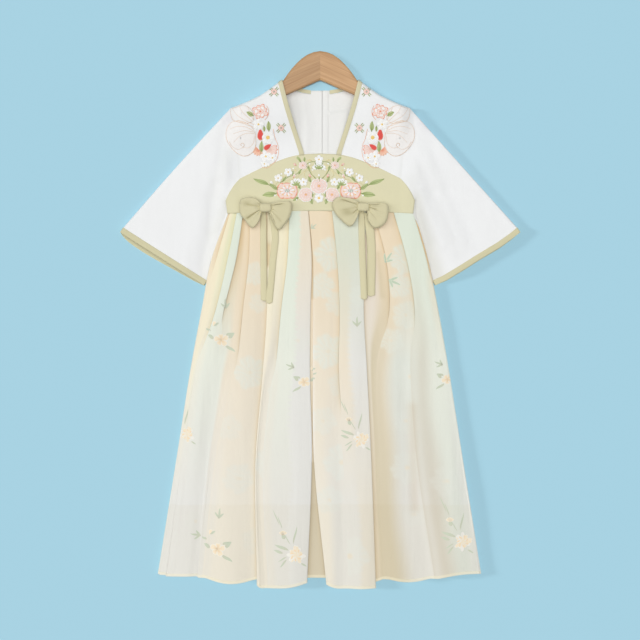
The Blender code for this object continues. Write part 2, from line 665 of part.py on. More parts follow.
def sleeve(side, name):
    sections, front, back, out = sleeve_sections(side)
    sheet(f"sleeve_{name}", sections, materials["white_crepe"], ring=True)
    grid = []
    for beyond in (GAP, CUFF_WIDTH / 2, CUFF_WIDTH):
        grid.append(closed_section(side, front + out * beyond, back + out * beyond))
    sheet(f"cuff_binding_{name}", np.stack(grid), materials["sage_binding"], ring=True)


def hanger():
    """The board: its outline thickened downwards, with rounded edges."""
    half = np.array(HANGER_HALF)
    arch = trace(half[:HANGER_CORNER + 1], np.linspace(0.0, 1.0, ARCH_POINTS))
    arm = trace(half[HANGER_CORNER:HANGER_UNDER], np.linspace(0.0, 1.0, ARM_POINTS))[1:]
    right = np.concatenate([arch, arm, half[HANGER_UNDER:]])
    outline = np.concatenate([right, mirrored(right[1:-1][::-1], -1)])[::-1]
    mesh = bpy.data.meshes.new("hanger")
    board = bmesh.new()
    top = (HANGER_BOTTOM + HANGER_THICK) * MM
    board.faces.new([board.verts.new((x * MM, y * MM, top)) for x, y in outline])
    board.to_mesh(mesh)
    board.free()
    obj = add_object("hanger", mesh, materials["beech"])
    thicken = obj.modifiers.new("board", "SOLIDIFY")
    thicken.thickness = HANGER_THICK * MM
    thicken.offset = -1.0
    soften = obj.modifiers.new("rounded", "BEVEL")
    soften.width = HANGER_ROUND * MM
    soften.segments = 2
    soften.limit_method = "ANGLE"


def bow_loop(name, middle, outer, way):
    """A ribbon that runs out from the knot, folds over at its outer edge and comes back under itself."""
    corners = np.array(outer)
    steps = np.linspace(0.0, 1.0, LOOP_STEPS)
    root = np.array((way * LOOP_START, 0.0))
    grid = []
    for w in np.linspace(-1.0, 1.0, LOOP_ROWS):
        flank = (corners[1] - corners[0]) / 2 * w
        start = np.array((0.0, -LOOP_ROOT_HALF * w))
        reach = (corners.mean(axis=0) - root) * (1.0 + LOOP_BULGE * (1.0 - w * w))
        opening = np.sin(np.pi / 2 * steps)[:, None]
        plan = root + steps[:, None] * reach + start + opening * (flank - start)
        crown = LOOP_CROWN * np.sin(np.pi * steps) * (1.0 - 0.6 * w * w)
        row = [(x, y, LOOP_BOTTOM + LOOP_TOP + rise) for (x, y), rise in zip(plan, crown)]
        row.append((*(plan[-1] + 0.02 * reach), LOOP_BOTTOM + LOOP_EDGE))
        row += [(x, y, LOOP_BOTTOM) for x, y in plan[::-2]]
        grid.append(row)
    points = np.array(grid)
    points[..., :2] += middle
    sheet(name, points, materials["sage_crepe"])


def bow_tail(name, middle, route):
    """A flat ribbon that lies on the skirt's pleats."""
    steps = np.linspace(0.0, 1.0, TAIL_ROWS)
    line = trace(np.array(route) + middle, steps)
    halves = TAIL_WIDTH / 2 * (TAIL_TOP_SHARE + (1.0 - TAIL_TOP_SHARE) * smooth(steps * TAIL_ROWS / 2))
    heights = [skirt_height(x, y, half + 2.5) + STEP + TAIL_CLEAR for (x, y), half in zip(line, halves)]
    padded = np.array([heights[0], *heights, heights[-1]])
    lifted = np.maximum(heights, (padded[:-2] + padded[2:]) / 2)
    edges = [np.stack([line[:, 0] + k * halves, line[:, 1], lifted], axis=-1) for k in (-1.0, 1.0)]
    sheet(name, np.stack(edges, axis=1), materials["sage_crepe"])


def bow_knot(name, middle):
    """The ribbon wrapped round the middle of a bow."""
    mesh = bpy.data.meshes.new(name)
    solid = bmesh.new()
    bmesh.ops.create_cube(solid, size=1.0)
    solid.to_mesh(mesh)
    solid.free()
    width, height, depth = BOW_KNOT
    for vertex in mesh.vertices:
        vertex.co.x *= width * MM
        vertex.co.y *= height * MM
        vertex.co.z *= depth * MM
    obj = add_object(name, mesh, materials["sage_crepe"])
    obj.location = (middle[0] * MM, middle[1] * MM, (BOW_KNOT_BOTTOM + depth / 2) * MM)
    soften = obj.modifiers.new("rounded", "BEVEL")
    soften.width = BOW_KNOT_ROUND * MM
    soften.segments = 2


def bows():
    for bow in BOWS:
        bow_loop(f"{bow.name}_loop_left", bow.middle, bow.left, -1)
        bow_loop(f"{bow.name}_loop_right", bow.middle, bow.right, 1)
        bow_knot(f"{bow.name}_knot", bow.middle)
        bow_tail(f"{bow.name}_tail_left", bow.middle, bow.left_tail)
        bow_tail(f"{bow.name}_tail_right", bow.middle, bow.right_tail)


def petals():
    """Sheer petals sewn over the armholes."""
    for side, name in ((-1, "left"), (1, "right")):
        for part, middle, outline in PETALS:
            closed = np.array(outline + outline[:1])
            rim = trace(closed, np.linspace(0.0, 1.0, PETAL_POINTS + 1)[:-1])
            rings = [np.array(middle) + k * (rim - np.array(middle)) for k in PETAL_RINGS]
            plan = mirrored(np.stack(rings), side)
            points = with_height(plan)
            points[..., 2] += PETAL_LIFT
            sheet(f"petal_{name}_{part}", points, materials["organza"], ring=True, cap=True)


clear_scene()
dress = bpy.data.collections.new("hanfu_dress")
bpy.context.scene.collection.children.link(dress)
materials = {name: make_material(name) for name in MATERIALS}
skirt_back()
skirt_lining()
skirt_front()
chest_bands()
for sign, word in ((-1, "left"), (1, "right")):
    bodice_front(sign, word)
    neck_binding_front(sign, word)
    neck_binding_back(sign, word)
    sleeve(sign, word)
bodice_back(-1, "left", PLACKET[0])
bodice_back(1, "right", PLACKET[1])
back_placket()
hanger()
bows()
petals()
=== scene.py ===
"""Looks of the child's hanfu dress that lies flat with a plain wooden hanger in its shoulders.

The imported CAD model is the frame. Tables are in millimetres in its axes, +X to the right across the front,
+Y from the hem to the neck and +Z up, and MM turns them into Blender's metres. Cloth pieces follow the same
edges and heights as the CAD solids that they replace, with finer folds, and embroidery is laid on them.
"""

import json
from collections import namedtuple

import bmesh
import bpy
import numpy as np
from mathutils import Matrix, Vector
from mathutils.bvhtree import BVHTree

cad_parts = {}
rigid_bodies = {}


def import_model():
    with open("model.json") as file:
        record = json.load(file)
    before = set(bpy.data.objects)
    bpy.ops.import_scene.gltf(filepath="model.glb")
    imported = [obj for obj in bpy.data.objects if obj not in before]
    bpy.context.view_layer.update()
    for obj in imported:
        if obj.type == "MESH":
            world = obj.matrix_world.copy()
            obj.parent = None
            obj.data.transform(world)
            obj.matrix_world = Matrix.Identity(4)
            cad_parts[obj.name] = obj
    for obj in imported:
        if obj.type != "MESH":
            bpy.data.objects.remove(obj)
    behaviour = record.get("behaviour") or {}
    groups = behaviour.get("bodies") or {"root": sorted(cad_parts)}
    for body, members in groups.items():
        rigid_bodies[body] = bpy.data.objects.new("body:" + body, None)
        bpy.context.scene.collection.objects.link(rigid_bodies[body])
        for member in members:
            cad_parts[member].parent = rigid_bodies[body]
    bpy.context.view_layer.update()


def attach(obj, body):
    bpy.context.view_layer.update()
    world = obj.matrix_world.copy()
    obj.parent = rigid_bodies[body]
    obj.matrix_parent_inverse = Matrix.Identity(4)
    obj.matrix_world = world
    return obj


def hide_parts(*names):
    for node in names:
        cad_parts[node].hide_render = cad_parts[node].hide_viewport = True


MM = 0.001
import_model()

# The CAD's cloth and seams, and the heights that its layers lie at.
WALL = 1.1
GAP = 0.35
STEP = WALL + GAP
BACK = WALL / 2
SEAM = BACK + STEP
LINING_FRONT = SEAM + STEP
LOW = LINING_FRONT + STEP
MID = LOW + 0.8
TOP = MID + 0.8
# Outlines of the CAD's pieces, on the side at +X where both sides are alike.
NECK_POINT = (57.3, 360.8)
SHOULDER_TIP = (134.6, 317.7)
SHOULDER_LINE = (NECK_POINT, (75, 347.6), (90, 337.4), (105, 330), (120, 323.6), SHOULDER_TIP)
SLEEVE_TIP = (295.3, 138.6)
CUFF_INNER = (170.4, 59)
ARMPIT = (141.5, 179.5)
BAND_CORNER = (139, 159.8)
NECK_INNER = ((57.3, 360.8), (49.8, 331), (24.2, 250))
BINDING_WIDTH = 7.2
CUFF_WIDTH = 8.3
FOLD_TURN = 0.9
UNDER_STOPS = (160, 138, 113, 86, 59)
BAND_TOP = ((0, 250), (35, 247.3), (80, 231.8), (120, 212.5))
BAND_SIDE = ((120, 212.5), (124.6, 207.6), (130, 201), (136.5, 190.5), (141.5, 179.5))
BAND_EDGE = BAND_SIDE + ((140.25, 169.5), BAND_CORNER)
ARMHOLE = (SHOULDER_TIP, (129.4, 290), (123.6, 250), (120, 212.5))
WAIST_MIDDLE = 163.8
WAIST_DROP = 4.2
WAIST_HALF = 139
CHEST_HEIGHT = 2.7
WAIST_HEIGHT = 6.3
HANGER_CLOTH = 13.6
ROLL = 5.5
HANGER_FALL = 66
# The sleeves begin where the hanger's arms end, and the cloth falls from there over this reach.
ARM_END = 118
ARM_FALL = 24
ARM_SPINE = ((45, 350, 13), (80, 329, 10.6), (117, 313.4, 5.6))
SIDE_LEFT = (-139.4, -163.9, -178.3, -194.8, -213.3, -244.1)
SIDE_RIGHT = (143, 162.5, 177.4, 193, 211.4, 241.9)
SIDE_HEM = -378.9
DOWN = (0, 0.126, 0.262, 0.426, 0.645, 1)
Fold = namedtuple("Fold", "over across tuck opens opened spread valley ridge hem_low hem_top")
FOLDS = [Fold(*row) for row in (
    (1, (-135.4, -154.9, -169.9, -186.4, -204.4, -231.4), 2.5, 0.09, 0.2, 7, 7.4, 8.6, -380.6, -380.6),
    (1, (-124.9, -138.4, -155.6, -183.4, -199.9, -220.4), 4, 0.29, 0.42, 9, 8.6, 10.6, -382.5, -382.5),
    (-1, (-115.1, -125.6, -143.6, -163.9, -178.9, -195.4), 4, 0.24, 0.36, 10, 6.8, 11, -382.6, -382.6),
    (1, (-105.4, -106.9, -115.4, -124.9, -148.9, -171.4), 7.5, 0.33, 0.48, 9, 6.8, 12, -384.6, -384.6),
    (1, (-79.1, -79, -79.9, -85.9, -96.4, -94.9), 9, 2, 3, 12, 6.6, 8.8, -387, -395.9),
    (1, (-46.1, -49.1, -58.4, -66.4, -79.9, -72.4), 8, 0.33, 0.48, 9, 7.8, 11, -400, -400),
    (-1, (-17.9, -12.8, -14.5, -15.2, -12.5, -19.4), 8, 2, 3, 12, 6.9, 9, -384.9, -392.4),
    (1, (-17, -11, -10.7, -10.9, -10, 9), 8, 2, 3, 12, 6.9, 9, -384.9, -394.8),
    (1, (17.6, 25.1, 29, 27.7, 38.6, 47.6), 8, 0.47, 0.58, 9, 8, 11.5, -400.5, -400.5),
    (-1, (68.6, 66.4, 65.2, 70.1, 76.1, 83.3), 9, 2, 3, 12, 6.4, 9.2, -390.8, -400.1),
    (1, (79.9, 97.9, 103.9, 88.1, 91.1, 103.6), 7, 0.22, 0.4, 10, 6.2, 12.5, -386.8, -386.8),
    (1, (109.9, 129.1, 141.2, 140.6, 148.1, 176.6), 7, 0.24, 0.38, 10, 6.8, 12, -386, -386),
    (-1, (139.4, 158.6, 172.9, 186.4, 203.9, 231.6), 2.5, 0.13, 0.22, 7, 7.4, 8.8, -379, -379),
)]
Panel = namedtuple("Panel", "columns puff_waist puff_hem dip")
PANELS = [Panel(*row) for row in (
    (0, 0, 0, 0), (1, 0.3, 1, 0), (1, 0.4, 2, 0), (1, 0, -0.8, 0), (2, 0.5, 5.5, 8), (2, 0.5, 2.5, 2),
    (2, 0.5, 4, 3), (1, 0, -0.3, 0), (2, 0.5, 3.5, 2.5), (2, 0.5, 4, 0.4), (1, 0, -0.3, 0),
    (2, 0.5, 5, 4.6), (2, 0.5, 4, -2.5), (0, 0, 0, 0),
)]
LEAD = 1.5
LEAD_SHARE = 0.35
ROOM_SHARE = 0.72
SIDE_TURN = ((3.6, SEAM), (0.55, SEAM + 1.3), (2.4, LOW))
BACK_SIDE = 3.2
BACK_HEM = (
    (-240.9, -375.9), (-180.4, -378.9), (-105.4, -383), (-30.4, -384), (14.6, -383.6), (59.6, -386.4),
    (104.6, -386.6), (119.6, -385.2), (134.6, -389.6), (149.6, -389.8), (179.6, -384.9), (209.6, -379.7),
    (238.7, -375.9),
)
Crease = namedtuple("Crease", "start end width height")
CREASES = [Crease(*row) for row in (
    ((-144, 280), (-154, 205), 8, -1.4), ((-154, 205), (-173, 80), 9, -1.6),
    ((-140, 230), (-158, 140), 9, 1.2), ((139, 252), (171, 190), 8, -1.2),
    ((171, 190), (203, 124), 9, -1.5), ((169, 259), (190, 193), 9, -1.2),
    ((190, 193), (224, 120), 10, -1.6), ((150, 194), (182, 112), 7, 1.8),
)]
# The body's loft ends this far out, over this fade, and grows down this much of the chest band.
BODY_END = 168
BODY_FADE = 30
BAND_DEPTH = 86
SLEEVE_PUFF = 5
# The sleeves' upper fold stands up from its edge this share of the way, and puffs this much at once.
FOLD_STAND = 0.62
FOLD_PUFF = 0.75


def evenly(count):
    """Even shares from 0 to 1."""
    return np.linspace(0.0, 1.0, count)


def raised(plan, z):
    """Points seen from above, with their heights."""
    return np.concatenate([plan, np.broadcast_to(z, plan.shape[:-1])[..., None]], axis=-1)


def unit(angle):
    """Arrow of length 1 at an angle in radians."""
    return np.stack([np.cos(angle), np.sin(angle)], axis=-1)


def smooth(x):
    """0 below 0, 1 above 1, and an even curve between them."""
    x = np.clip(x, 0.0, 1.0)
    return x * x * (3.0 - 2.0 * x)


def along(stations, values, at):
    """Reads a smooth curve through the values at the stations, which rise."""
    stations = np.asarray(stations, float)
    values = np.asarray(values, float)
    at = np.clip(np.asarray(at, float), stations[0], stations[-1])
    slopes = np.gradient(values, stations, axis=0)
    i = np.clip(np.searchsorted(stations, at, side="right") - 1, 0, len(stations) - 2)
    span = stations[i + 1] - stations[i]
    t = (at - stations[i]) / span
    if values.ndim > 1:
        span = span[..., None]
        t = t[..., None]
    start = values[i] * (1 + 2 * t) * (1 - t) ** 2 + slopes[i] * span * t * (1 - t) ** 2
    end = values[i + 1] * t * t * (3 - 2 * t) - slopes[i + 1] * span * t * t * (1 - t)
    return start + end


def shares(edge):
    """How far along an edge each of its points is, from 0 to 1."""
    lengths = np.linalg.norm(np.diff(edge, axis=0), axis=1)
    return np.concatenate([[0.0], np.cumsum(lengths)]) / lengths.sum()


def trace(edge, at):
    """Points at the given shares of a smooth curve through an edge's points."""
    edge = np.asarray(edge, float)
    return along(shares(edge), edge, np.asarray(at, float))


def chord(edge, at):
    """Points at the given shares of the straight runs between an edge's points."""
    edge = np.asarray(edge, float)
    where = shares(edge)
    return np.stack([np.interp(at, where, edge[:, k]) for k in range(edge.shape[1])], axis=-1)


def coons(top, bottom, left, right):
    """Grid inside four edges. Top and bottom run left to right, left and right run top to bottom."""
    u = ((shares(top) + shares(bottom)) / 2)[None, :, None]
    v = ((shares(left) + shares(right)) / 2)[:, None, None]
    corners = (1 - v) * ((1 - u) * top[0] + u * top[-1]) + v * ((1 - u) * bottom[0] + u * bottom[-1])
    return (1 - v) * top[None] + v * bottom[None] + (1 - u) * left[:, None] + u * right[:, None] - corners


def mirrored(points, side):
    """The points themselves for side 1, and their mirror image for side -1."""
    points = np.array(points, float)
    points[..., 0] *= side
    return points


def nearest(x, y, start, end):
    """How far along a straight run each point's nearest place is, from 0 to 1, and how far away."""
    (ax, ay), (bx, by) = start, end
    dx, dy = bx - ax, by - ay
    t = np.clip(((x - ax) * dx + (y - ay) * dy) / (dx * dx + dy * dy), 0.0, 1.0)
    return t, np.hypot(x - ax - t * dx, y - ay - t * dy)


def line_distance(x, y, line):
    """Distance of each point from a run of straight lines."""
    return np.minimum.reduce([nearest(x, y, *ends)[1] for ends in zip(line, line[1:])])


def roll(distance, reach):
    """Rise of cloth that turns up from a folded edge, 0 at the edge and 1 past its reach."""
    t = np.clip(distance / reach, 0.0, 1.0)
    return np.sqrt(1.0 - (1.0 - t) ** 2)


def skirt_side(side, y):
    share = (WAIST_MIDDLE - WAIST_DROP - np.asarray(y, float)) / (WAIST_MIDDLE - WAIST_DROP - SIDE_HEM)
    return along(DOWN, SIDE_RIGHT if side > 0 else SIDE_LEFT, share)


def under_edge(side, y):
    """The sleeve's underarm seam, just outside the side of the band and the skirt."""
    band = np.interp(y, (BAND_CORNER[1], ARMPIT[1]), (BAND_CORNER[0], ARMPIT[0]))
    return side * np.maximum(band, side * skirt_side(side, y)) + side * 2 * GAP


def under_line(side):
    heights = (ARMPIT[1], 160.0, 125.0, 90.0, CUFF_INNER[1])
    return [(float(under_edge(side, y)), y) for y in heights]


def arm_distance(x, y):
    """Distance outside the hanger's arm, seen from above."""
    reaches = []
    for (*start, start_width), (*end, end_width) in zip(ARM_SPINE, ARM_SPINE[1:]):
        t, away = nearest(np.abs(x), y, start, end)
        reaches.append(away - (start_width + t * (end_width - start_width)))
    return np.minimum.reduce(reaches)


def crease_height(x, y):
    return sum(crease.height * np.exp(-((nearest(x, y, crease.start, crease.end)[1] / crease.width) ** 2))
               for crease in CREASES)


def front_height(x, y, side_roll=0.0):
    """Height of the middle of the front layer of bodice, chest band and sleeves."""
    x, y = np.asarray(x, float), np.asarray(y, float)
    out = np.abs(x)
    body = smooth((BODY_END - out) / BODY_FADE)
    base = CHEST_HEIGHT + (WAIST_HEIGHT - CHEST_HEIGHT) * smooth((BAND_TOP[0][1] - y) / BAND_DEPTH) * body
    under = np.where(x < 0, *(line_distance(x, y, under_line(side)) for side in (-1, 1)))
    top = line_distance(out, y, (*SHOULDER_LINE, SLEEVE_TIP))
    arm = smooth((out - ARM_END) / BODY_FADE)
    puff = SLEEVE_PUFF * arm * (FOLD_PUFF + (1.0 - FOLD_PUFF) * smooth(top / 45.0)) * smooth(under / 40.0)
    creases = crease_height(x, y) * arm * smooth(top / 25.0) * smooth(under / 8.0)
    lift = (HANGER_CLOTH - base) * (1.0 - smooth((arm_distance(x, y) - 4.0) / HANGER_FALL))
    lift = lift * (1.0 - smooth((out - ARM_END) / ARM_FALL))
    height = base + puff + creases + np.maximum(lift, 0.0)
    edge = roll(top, ROLL)
    edge = edge + FOLD_STAND * arm * (1.0 - edge)
    open_side = smooth((y - ARMPIT[1]) / 25.0)
    side_edge = 1.0 - side_roll * (1.0 - roll(under, ROLL)) * (1.0 - open_side)
    return SEAM + (height - SEAM) * np.minimum(edge, side_edge)


def with_height(plan, side_roll=0.0):
    """Adds the front layer's height to points seen from above."""
    return raised(plan, front_height(plan[..., 0], plan[..., 1], side_roll))


def waist(x):
    return WAIST_MIDDLE - WAIST_DROP * (np.asarray(x, float) / WAIST_HALF) ** 2


def opening(fold, share):
    """0 where a fold is shut and 1 where it has opened."""
    return smooth((share - fold.opens) / (fold.opened - fold.opens))


def fold_points(fold, share, lead, room):
    """The five points of a fold's section at each share: places across and heights, from left to right."""
    centre = along(DOWN, fold.across, share)
    opened = opening(fold, share)
    settle = share ** 0.7
    low = LOW + (fold.valley - LOW) * settle
    top = TOP + (fold.ridge - TOP) * settle
    middle = (low + top) / 2
    shut = (-lead, fold.tuck, fold.tuck, 0.0, 0.0)
    spread = np.minimum(fold.spread, room)
    offsets = [a + (-spread * k - a) * opened for a, k in zip(shut, (1.25, 1.0, 2 / 3, 1 / 3, 0.0))]
    heights = (low, low, middle + (low - middle) * opened / 3, middle + (top - middle) * opened / 3, top)
    points = [(centre + fold.over * offset, height) for offset, height in zip(offsets, heights)]
    return points[::fold.over]


def skirt_columns(share):
    """Every column of the skirt's front at the given shares: place across, height and where its hem is."""
    share = np.asarray(share, float)
    left, right = along(DOWN, SIDE_LEFT, share), along(DOWN, SIDE_RIGHT, share)
    loft = 1.0 + 0.5 * share
    side = [(inset, height * (loft if k else 1.0)) for k, (inset, height) in enumerate(SIDE_TURN)]
    columns = [(left + inset, height, SIDE_HEM) for inset, height in side]
    inset = SIDE_TURN[-1][0]
    centres = [left + inset, *(along(DOWN, fold.across, share) for fold in FOLDS), right - inset]
    for k, fold in enumerate(FOLDS):
        under = k if fold.over > 0 else k + 2
        gap = np.abs(centres[k + 1] - centres[under])
        beside = 0 < under < len(FOLDS) + 1 and FOLDS[under - 1].over != fold.over
        room = gap * (ROOM_SHARE / 2 if beside else ROOM_SHARE)
        points = fold_points(fold, share, np.minimum(LEAD, LEAD_SHARE * gap), room)
        hems = [fold.hem_low, fold.hem_low, fold.hem_low, fold.hem_top, fold.hem_top][::fold.over]
        panel = PANELS[k]
        before = columns[-1]
        after = (*points[0], hems[0])
        for n in range(panel.columns):
            f = (n + 1) / (panel.columns + 1)
            bulge = 4 * f * (1 - f)
            puff = (panel.puff_waist + (panel.puff_hem - panel.puff_waist) * share ** 1.2) * bulge
            across, height, hem = (a + f * (b - a) for a, b in zip(before, after))
            columns.append((across, height + puff, hem - panel.dip * bulge))
        columns += [(across, height, hem) for (across, height), hem in zip(points, hems)]
    return columns + [(right - inset, height, SIDE_HEM) for inset, height in reversed(side)]


def armhole(side, where):
    """Points of the armhole seam from the shoulder's tip to the chest band's corner."""
    return mirrored(chord(ARMHOLE, where), side)


def neck_line(side, width, rows):
    """The neck opening's edge moved outwards by a width, from the shoulder down to the chest band."""
    run = np.subtract(SHOULDER_LINE[1], NECK_POINT)
    start = run / np.linalg.norm(run) * width
    end = np.array([width, 0.0])
    shift = start[None] + np.asarray(rows)[:, None] * (end - start)[None]
    return mirrored(trace(NECK_INNER, rows) + shift, side)


# Colours as they look in this light, in 0 to 255, and how much brighter than its own colour flat cloth looks.
PALETTE = {
    "white": (242, 243, 243), "inside": (238, 238, 235), "sage": (223, 218, 183),
    "binding": (216, 210, 176), "cuff": (213, 207, 170), "bow": (214, 207, 170), "sash": (218, 211, 174),
    "apricot": (238, 213, 172), "peach": (238, 221, 192), "tan": (229, 207, 170),
    "lime": (238, 238, 204), "mint": (225, 233, 217), "cream": (246, 238, 208), "lilac": (233, 219, 204),
    "soft_peach": (237, 226, 205), "soft_cream": (243, 235, 215), "dew": (234, 237, 224),
    "grey_mint": (226, 229, 218), "sand": (234, 228, 213), "pearl": (232, 231, 225),
    "chalk": (230, 228, 220), "straw_hem": (214, 203, 176),
    # Below, the darker sand, mint and peach, and the greyer mint, are print colours with painted shade in
    # them: of fold valleys, and of the right bow over panel 9.
    "straw_dark": (214, 204, 180), "sand_in_shade": (215, 209, 194), "dusk_mint": (218, 216, 201),
    "dusk_peach": (228, 216, 192), "mint_under_bow_shade": (219, 223, 205),
    "warm_sand": (238, 232, 217), "blossom": (228, 233, 220), "haze": (231, 232, 224),
    "leaf": (198, 212, 186), "ink_leaf": (205, 213, 190), "ink_stem": (208, 208, 186),
    "ink_petal": (246, 231, 203), "ink_white": (243, 240, 231), "ink_core": (246, 223, 188),
    "thread_green": (188, 199, 142), "thread_olive": (158, 174, 112), "thread_white": (250, 250, 248),
    "thread_pink": (244, 205, 192), "thread_blush": (247, 222, 212), "thread_coral": (240, 152, 122),
    "thread_red": (232, 88, 82), "thread_peach": (247, 200, 174), "thread_rim": (240, 213, 188),
    "thread_yellow": (245, 210, 130), "thread_straw": (236, 224, 176), "thread_grey": (186, 194, 180),
    "organza": (244, 241, 238),
}
LIGHT = 1.04


def blend(first, second, share):
    """Colours between two, by shares."""
    return first + np.asarray(share)[..., None] * (second - first)


def darker(colours, share, depth):
    """Colours with a share of a depth in red, green and blue taken off."""
    return colours * (1.0 - np.asarray(share)[..., None] * np.array(depth))


def linear(name):
    """A palette colour in Blender's linear values."""
    value = np.array(PALETTE[name]) / 255
    value = np.where(value <= 0.04045, value / 12.92, ((value + 0.055) / 1.055) ** 2.4)
    return np.minimum(value / LIGHT, 0.96)


def tone(name):
    return (*(float(value) for value in linear(name)), 1.0)


# ---- materials ----

def add_node(tree, kind, inputs, output=0, **settings):
    """Adds a shader node with its inputs set or linked, and gives one of its outputs."""
    made = tree.nodes.new("ShaderNode" + kind)
    for key, value in settings.items():
        setattr(made, key, value)
    for key, value in inputs.items():
        if hasattr(value, "is_output"):
            tree.links.new(value, made.inputs[key])
        else:
            made.inputs[key].default_value = value
    return made.outputs[output]


def new_material(name, roughness, sheen=0.0, sheen_roughness=0.5):
    material = bpy.data.materials.new(name)
    material.use_nodes = True
    tree = material.node_tree
    shader = tree.nodes["Principled BSDF"]
    shader.inputs["Roughness"].default_value = roughness
    shader.inputs["Sheen Weight"].default_value = sheen
    shader.inputs["Sheen Roughness"].default_value = sheen_roughness
    shader.inputs["Specular IOR Level"].default_value = 0.25
    return material, tree, shader


def stretched(tree, scale, turn=0.0, place=None):
    """Object coordinates, or other ones, turned about Z and scaled by x, y and z."""
    place = place or add_node(tree, "TexCoord", {}, "Object")
    return add_node(tree, "Mapping", {"Vector": place, "Rotation": (0.0, 0.0, turn), "Scale": scale})


def noise(tree, scale, detail=2.0, roughness=0.5, place=None):
    return add_node(tree, "TexNoise", {"Vector": stretched(tree, scale, place=place), "Scale": 1.0,
                                       "Detail": detail, "Roughness": roughness})


def wave(tree, vector, scale, distortion, direction):
    inputs = {"Vector": vector, "Scale": scale, "Distortion": distortion, "Detail": 1.0}
    return add_node(tree, "TexWave", inputs, "Fac", bands_direction=direction)


def finished(material, tree, shader, colour, layers):
    """Links the colour, and a chain of bumps: each layer is a height from 0 to 1 and its depth in metres."""
    tree.links.new(colour, shader.inputs["Base Color"])
    normal = {}
    for height, depth in layers:
        inputs = {"Height": height, "Distance": depth, "Strength": 1.0, **normal}
        normal = {"Normal": add_node(tree, "Bump", inputs)}
    tree.links.new(normal["Normal"], shader.inputs["Normal"])
    return material


def threads(tree, period, direction):
    """Fine bands a period apart, in metres, for one direction of a weave."""
    return wave(tree, stretched(tree, (1.0, 1.0, 1.0)), 2 * np.pi / 20 / period, 1.2, direction)


def varied(tree, colour, amount, scale):
    """A colour, a little lighter and darker in soft clouds."""
    value = add_node(tree, "MapRange", {"Value": noise(tree, scale, 3.0), "From Min": 0.3, "From Max": 0.7,
                                        "To Min": 1.0 - amount, "To Max": 1.0 + amount * 0.4})
    return add_node(tree, "HueSaturation", {"Color": colour, "Value": value})


def set_rgb(tree, name):
    """A palette colour, or with no name the colours that the mesh holds."""
    if not name:
        return add_node(tree, "VertexColor", {}, "Color", layer_name="print")
    made = add_node(tree, "RGB", {})
    made.default_value = tone(name)
    return made


# Bumps as scale and depth: the crepe's grain, and smoother crepe's soft creases with it.
GRAIN = ((1100.0, 1100.0, 1100.0), 0.00012)
SMOOTH = (((26.0, 9.0, 9.0), 0.0012), GRAIN)


def cloth_material(name, colour, roughness=0.82, sheen=(0.25, 0.5), clouds=(0.02, (9.0, 5.0, 5.0)),
                   bumps=(((26.0, 9.0, 9.0), 0.0024), GRAIN), weave=(0.0011, 0.00006)):
    """Woven cloth: sheen and its roughness, how much its colour varies in clouds of a scale, bumps as scale
    and depth, and the period and depth of its weave. Crepe unless told otherwise."""
    material, tree, shader = new_material(name, roughness, *sheen)
    layers = [(noise(tree, scale), depth) for scale, depth in bumps]
    layers += [(threads(tree, weave[0], direction), weave[1]) for direction in "XY"]
    return finished(material, tree, shader, varied(tree, set_rgb(tree, colour), *clouds), layers)


def thread_material():
    """Satin stitch: silky threads side by side along each motif's own direction, with painted shade between
    them.
    """
    material, tree, shader = new_material("embroidery_thread", 0.5, 0.3, 0.35)
    stitch = wave(tree, add_node(tree, "UVMap", {}, "UV", uv_map="stitch"), 160.0, 2.0, "X")
    # The stitch bands are painted 0.9 to 1.04 times as bright: painted shade and highlight along the threads.
    shade = add_node(tree, "MapRange", {"Value": stitch, "To Min": 0.9, "To Max": 1.04})
    colour = add_node(tree, "HueSaturation", {"Color": set_rgb(tree, None), "Value": shade})
    return finished(material, tree, shader, colour, [(stitch, 0.00025)])


WOOD_DARK = (0.42, 0.228, 0.1, 1.0)
WOOD_PALE = (0.6, 0.37, 0.186, 1.0)


def wood_material():
    """Two halves of beech glued at the middle, their grain falling outwards."""
    material, tree, shader = new_material("beech_wood", 0.42)
    shader.inputs["Coat Weight"].default_value = 0.25
    shader.inputs["Coat Roughness"].default_value = 0.25
    across = add_node(tree, "SeparateXYZ", {"Vector": add_node(tree, "TexCoord", {}, "Object")}, "X")
    side = add_node(tree, "Math", {0: across, 1: 0.0}, operation="GREATER_THAN")
    out = add_node(tree, "Math", {0: across}, operation="ABSOLUTE")
    place = add_node(tree, "CombineXYZ", {"X": out, "Y": across.node.outputs["Y"], "Z": side})
    place = stretched(tree, (1.0, 1.0, 1.0), 0.42, place)
    grain = noise(tree, (9.0, 300.0, 3.0), 5.0, 0.65, place)
    rings = noise(tree, (2.4, 34.0, 7.0), place=place)
    ramp = add_node(tree, "ValToRGB", {"Fac": grain})
    ends = ramp.node.color_ramp.elements
    ends[0].position, ends[1].position = 0.32, 0.66
    ends[0].color, ends[1].color = WOOD_DARK, WOOD_PALE
    shade = add_node(tree, "MapRange", {"Value": rings, "From Min": 0.35, "From Max": 0.65, "To Min": 0.9,
                                        "To Max": 1.06})
    half = add_node(tree, "MapRange", {"Value": side, "To Min": 0.92, "To Max": 1.08})
    both = add_node(tree, "Math", {0: shade, 1: half}, operation="MULTIPLY")
    colour = add_node(tree, "HueSaturation", {"Color": ramp, "Value": both})
    return finished(material, tree, shader, colour, [(grain, 0.00025)])


# ---- meshes ----

def placed(name, data):
    """Puts a new object in the scene."""
    obj = bpy.data.objects.new(name, data)
    bpy.context.scene.collection.objects.link(obj)
    return obj


def grid_faces(rows, columns, ring=False, first=0):
    faces = []
    for r in range(rows - 1):
        start = first + r * columns
        for c in range(columns if ring else columns - 1):
            here, beside = start + c, start + (c + 1) % columns
            faces.append((here, beside, beside + columns, here + columns))
    return faces


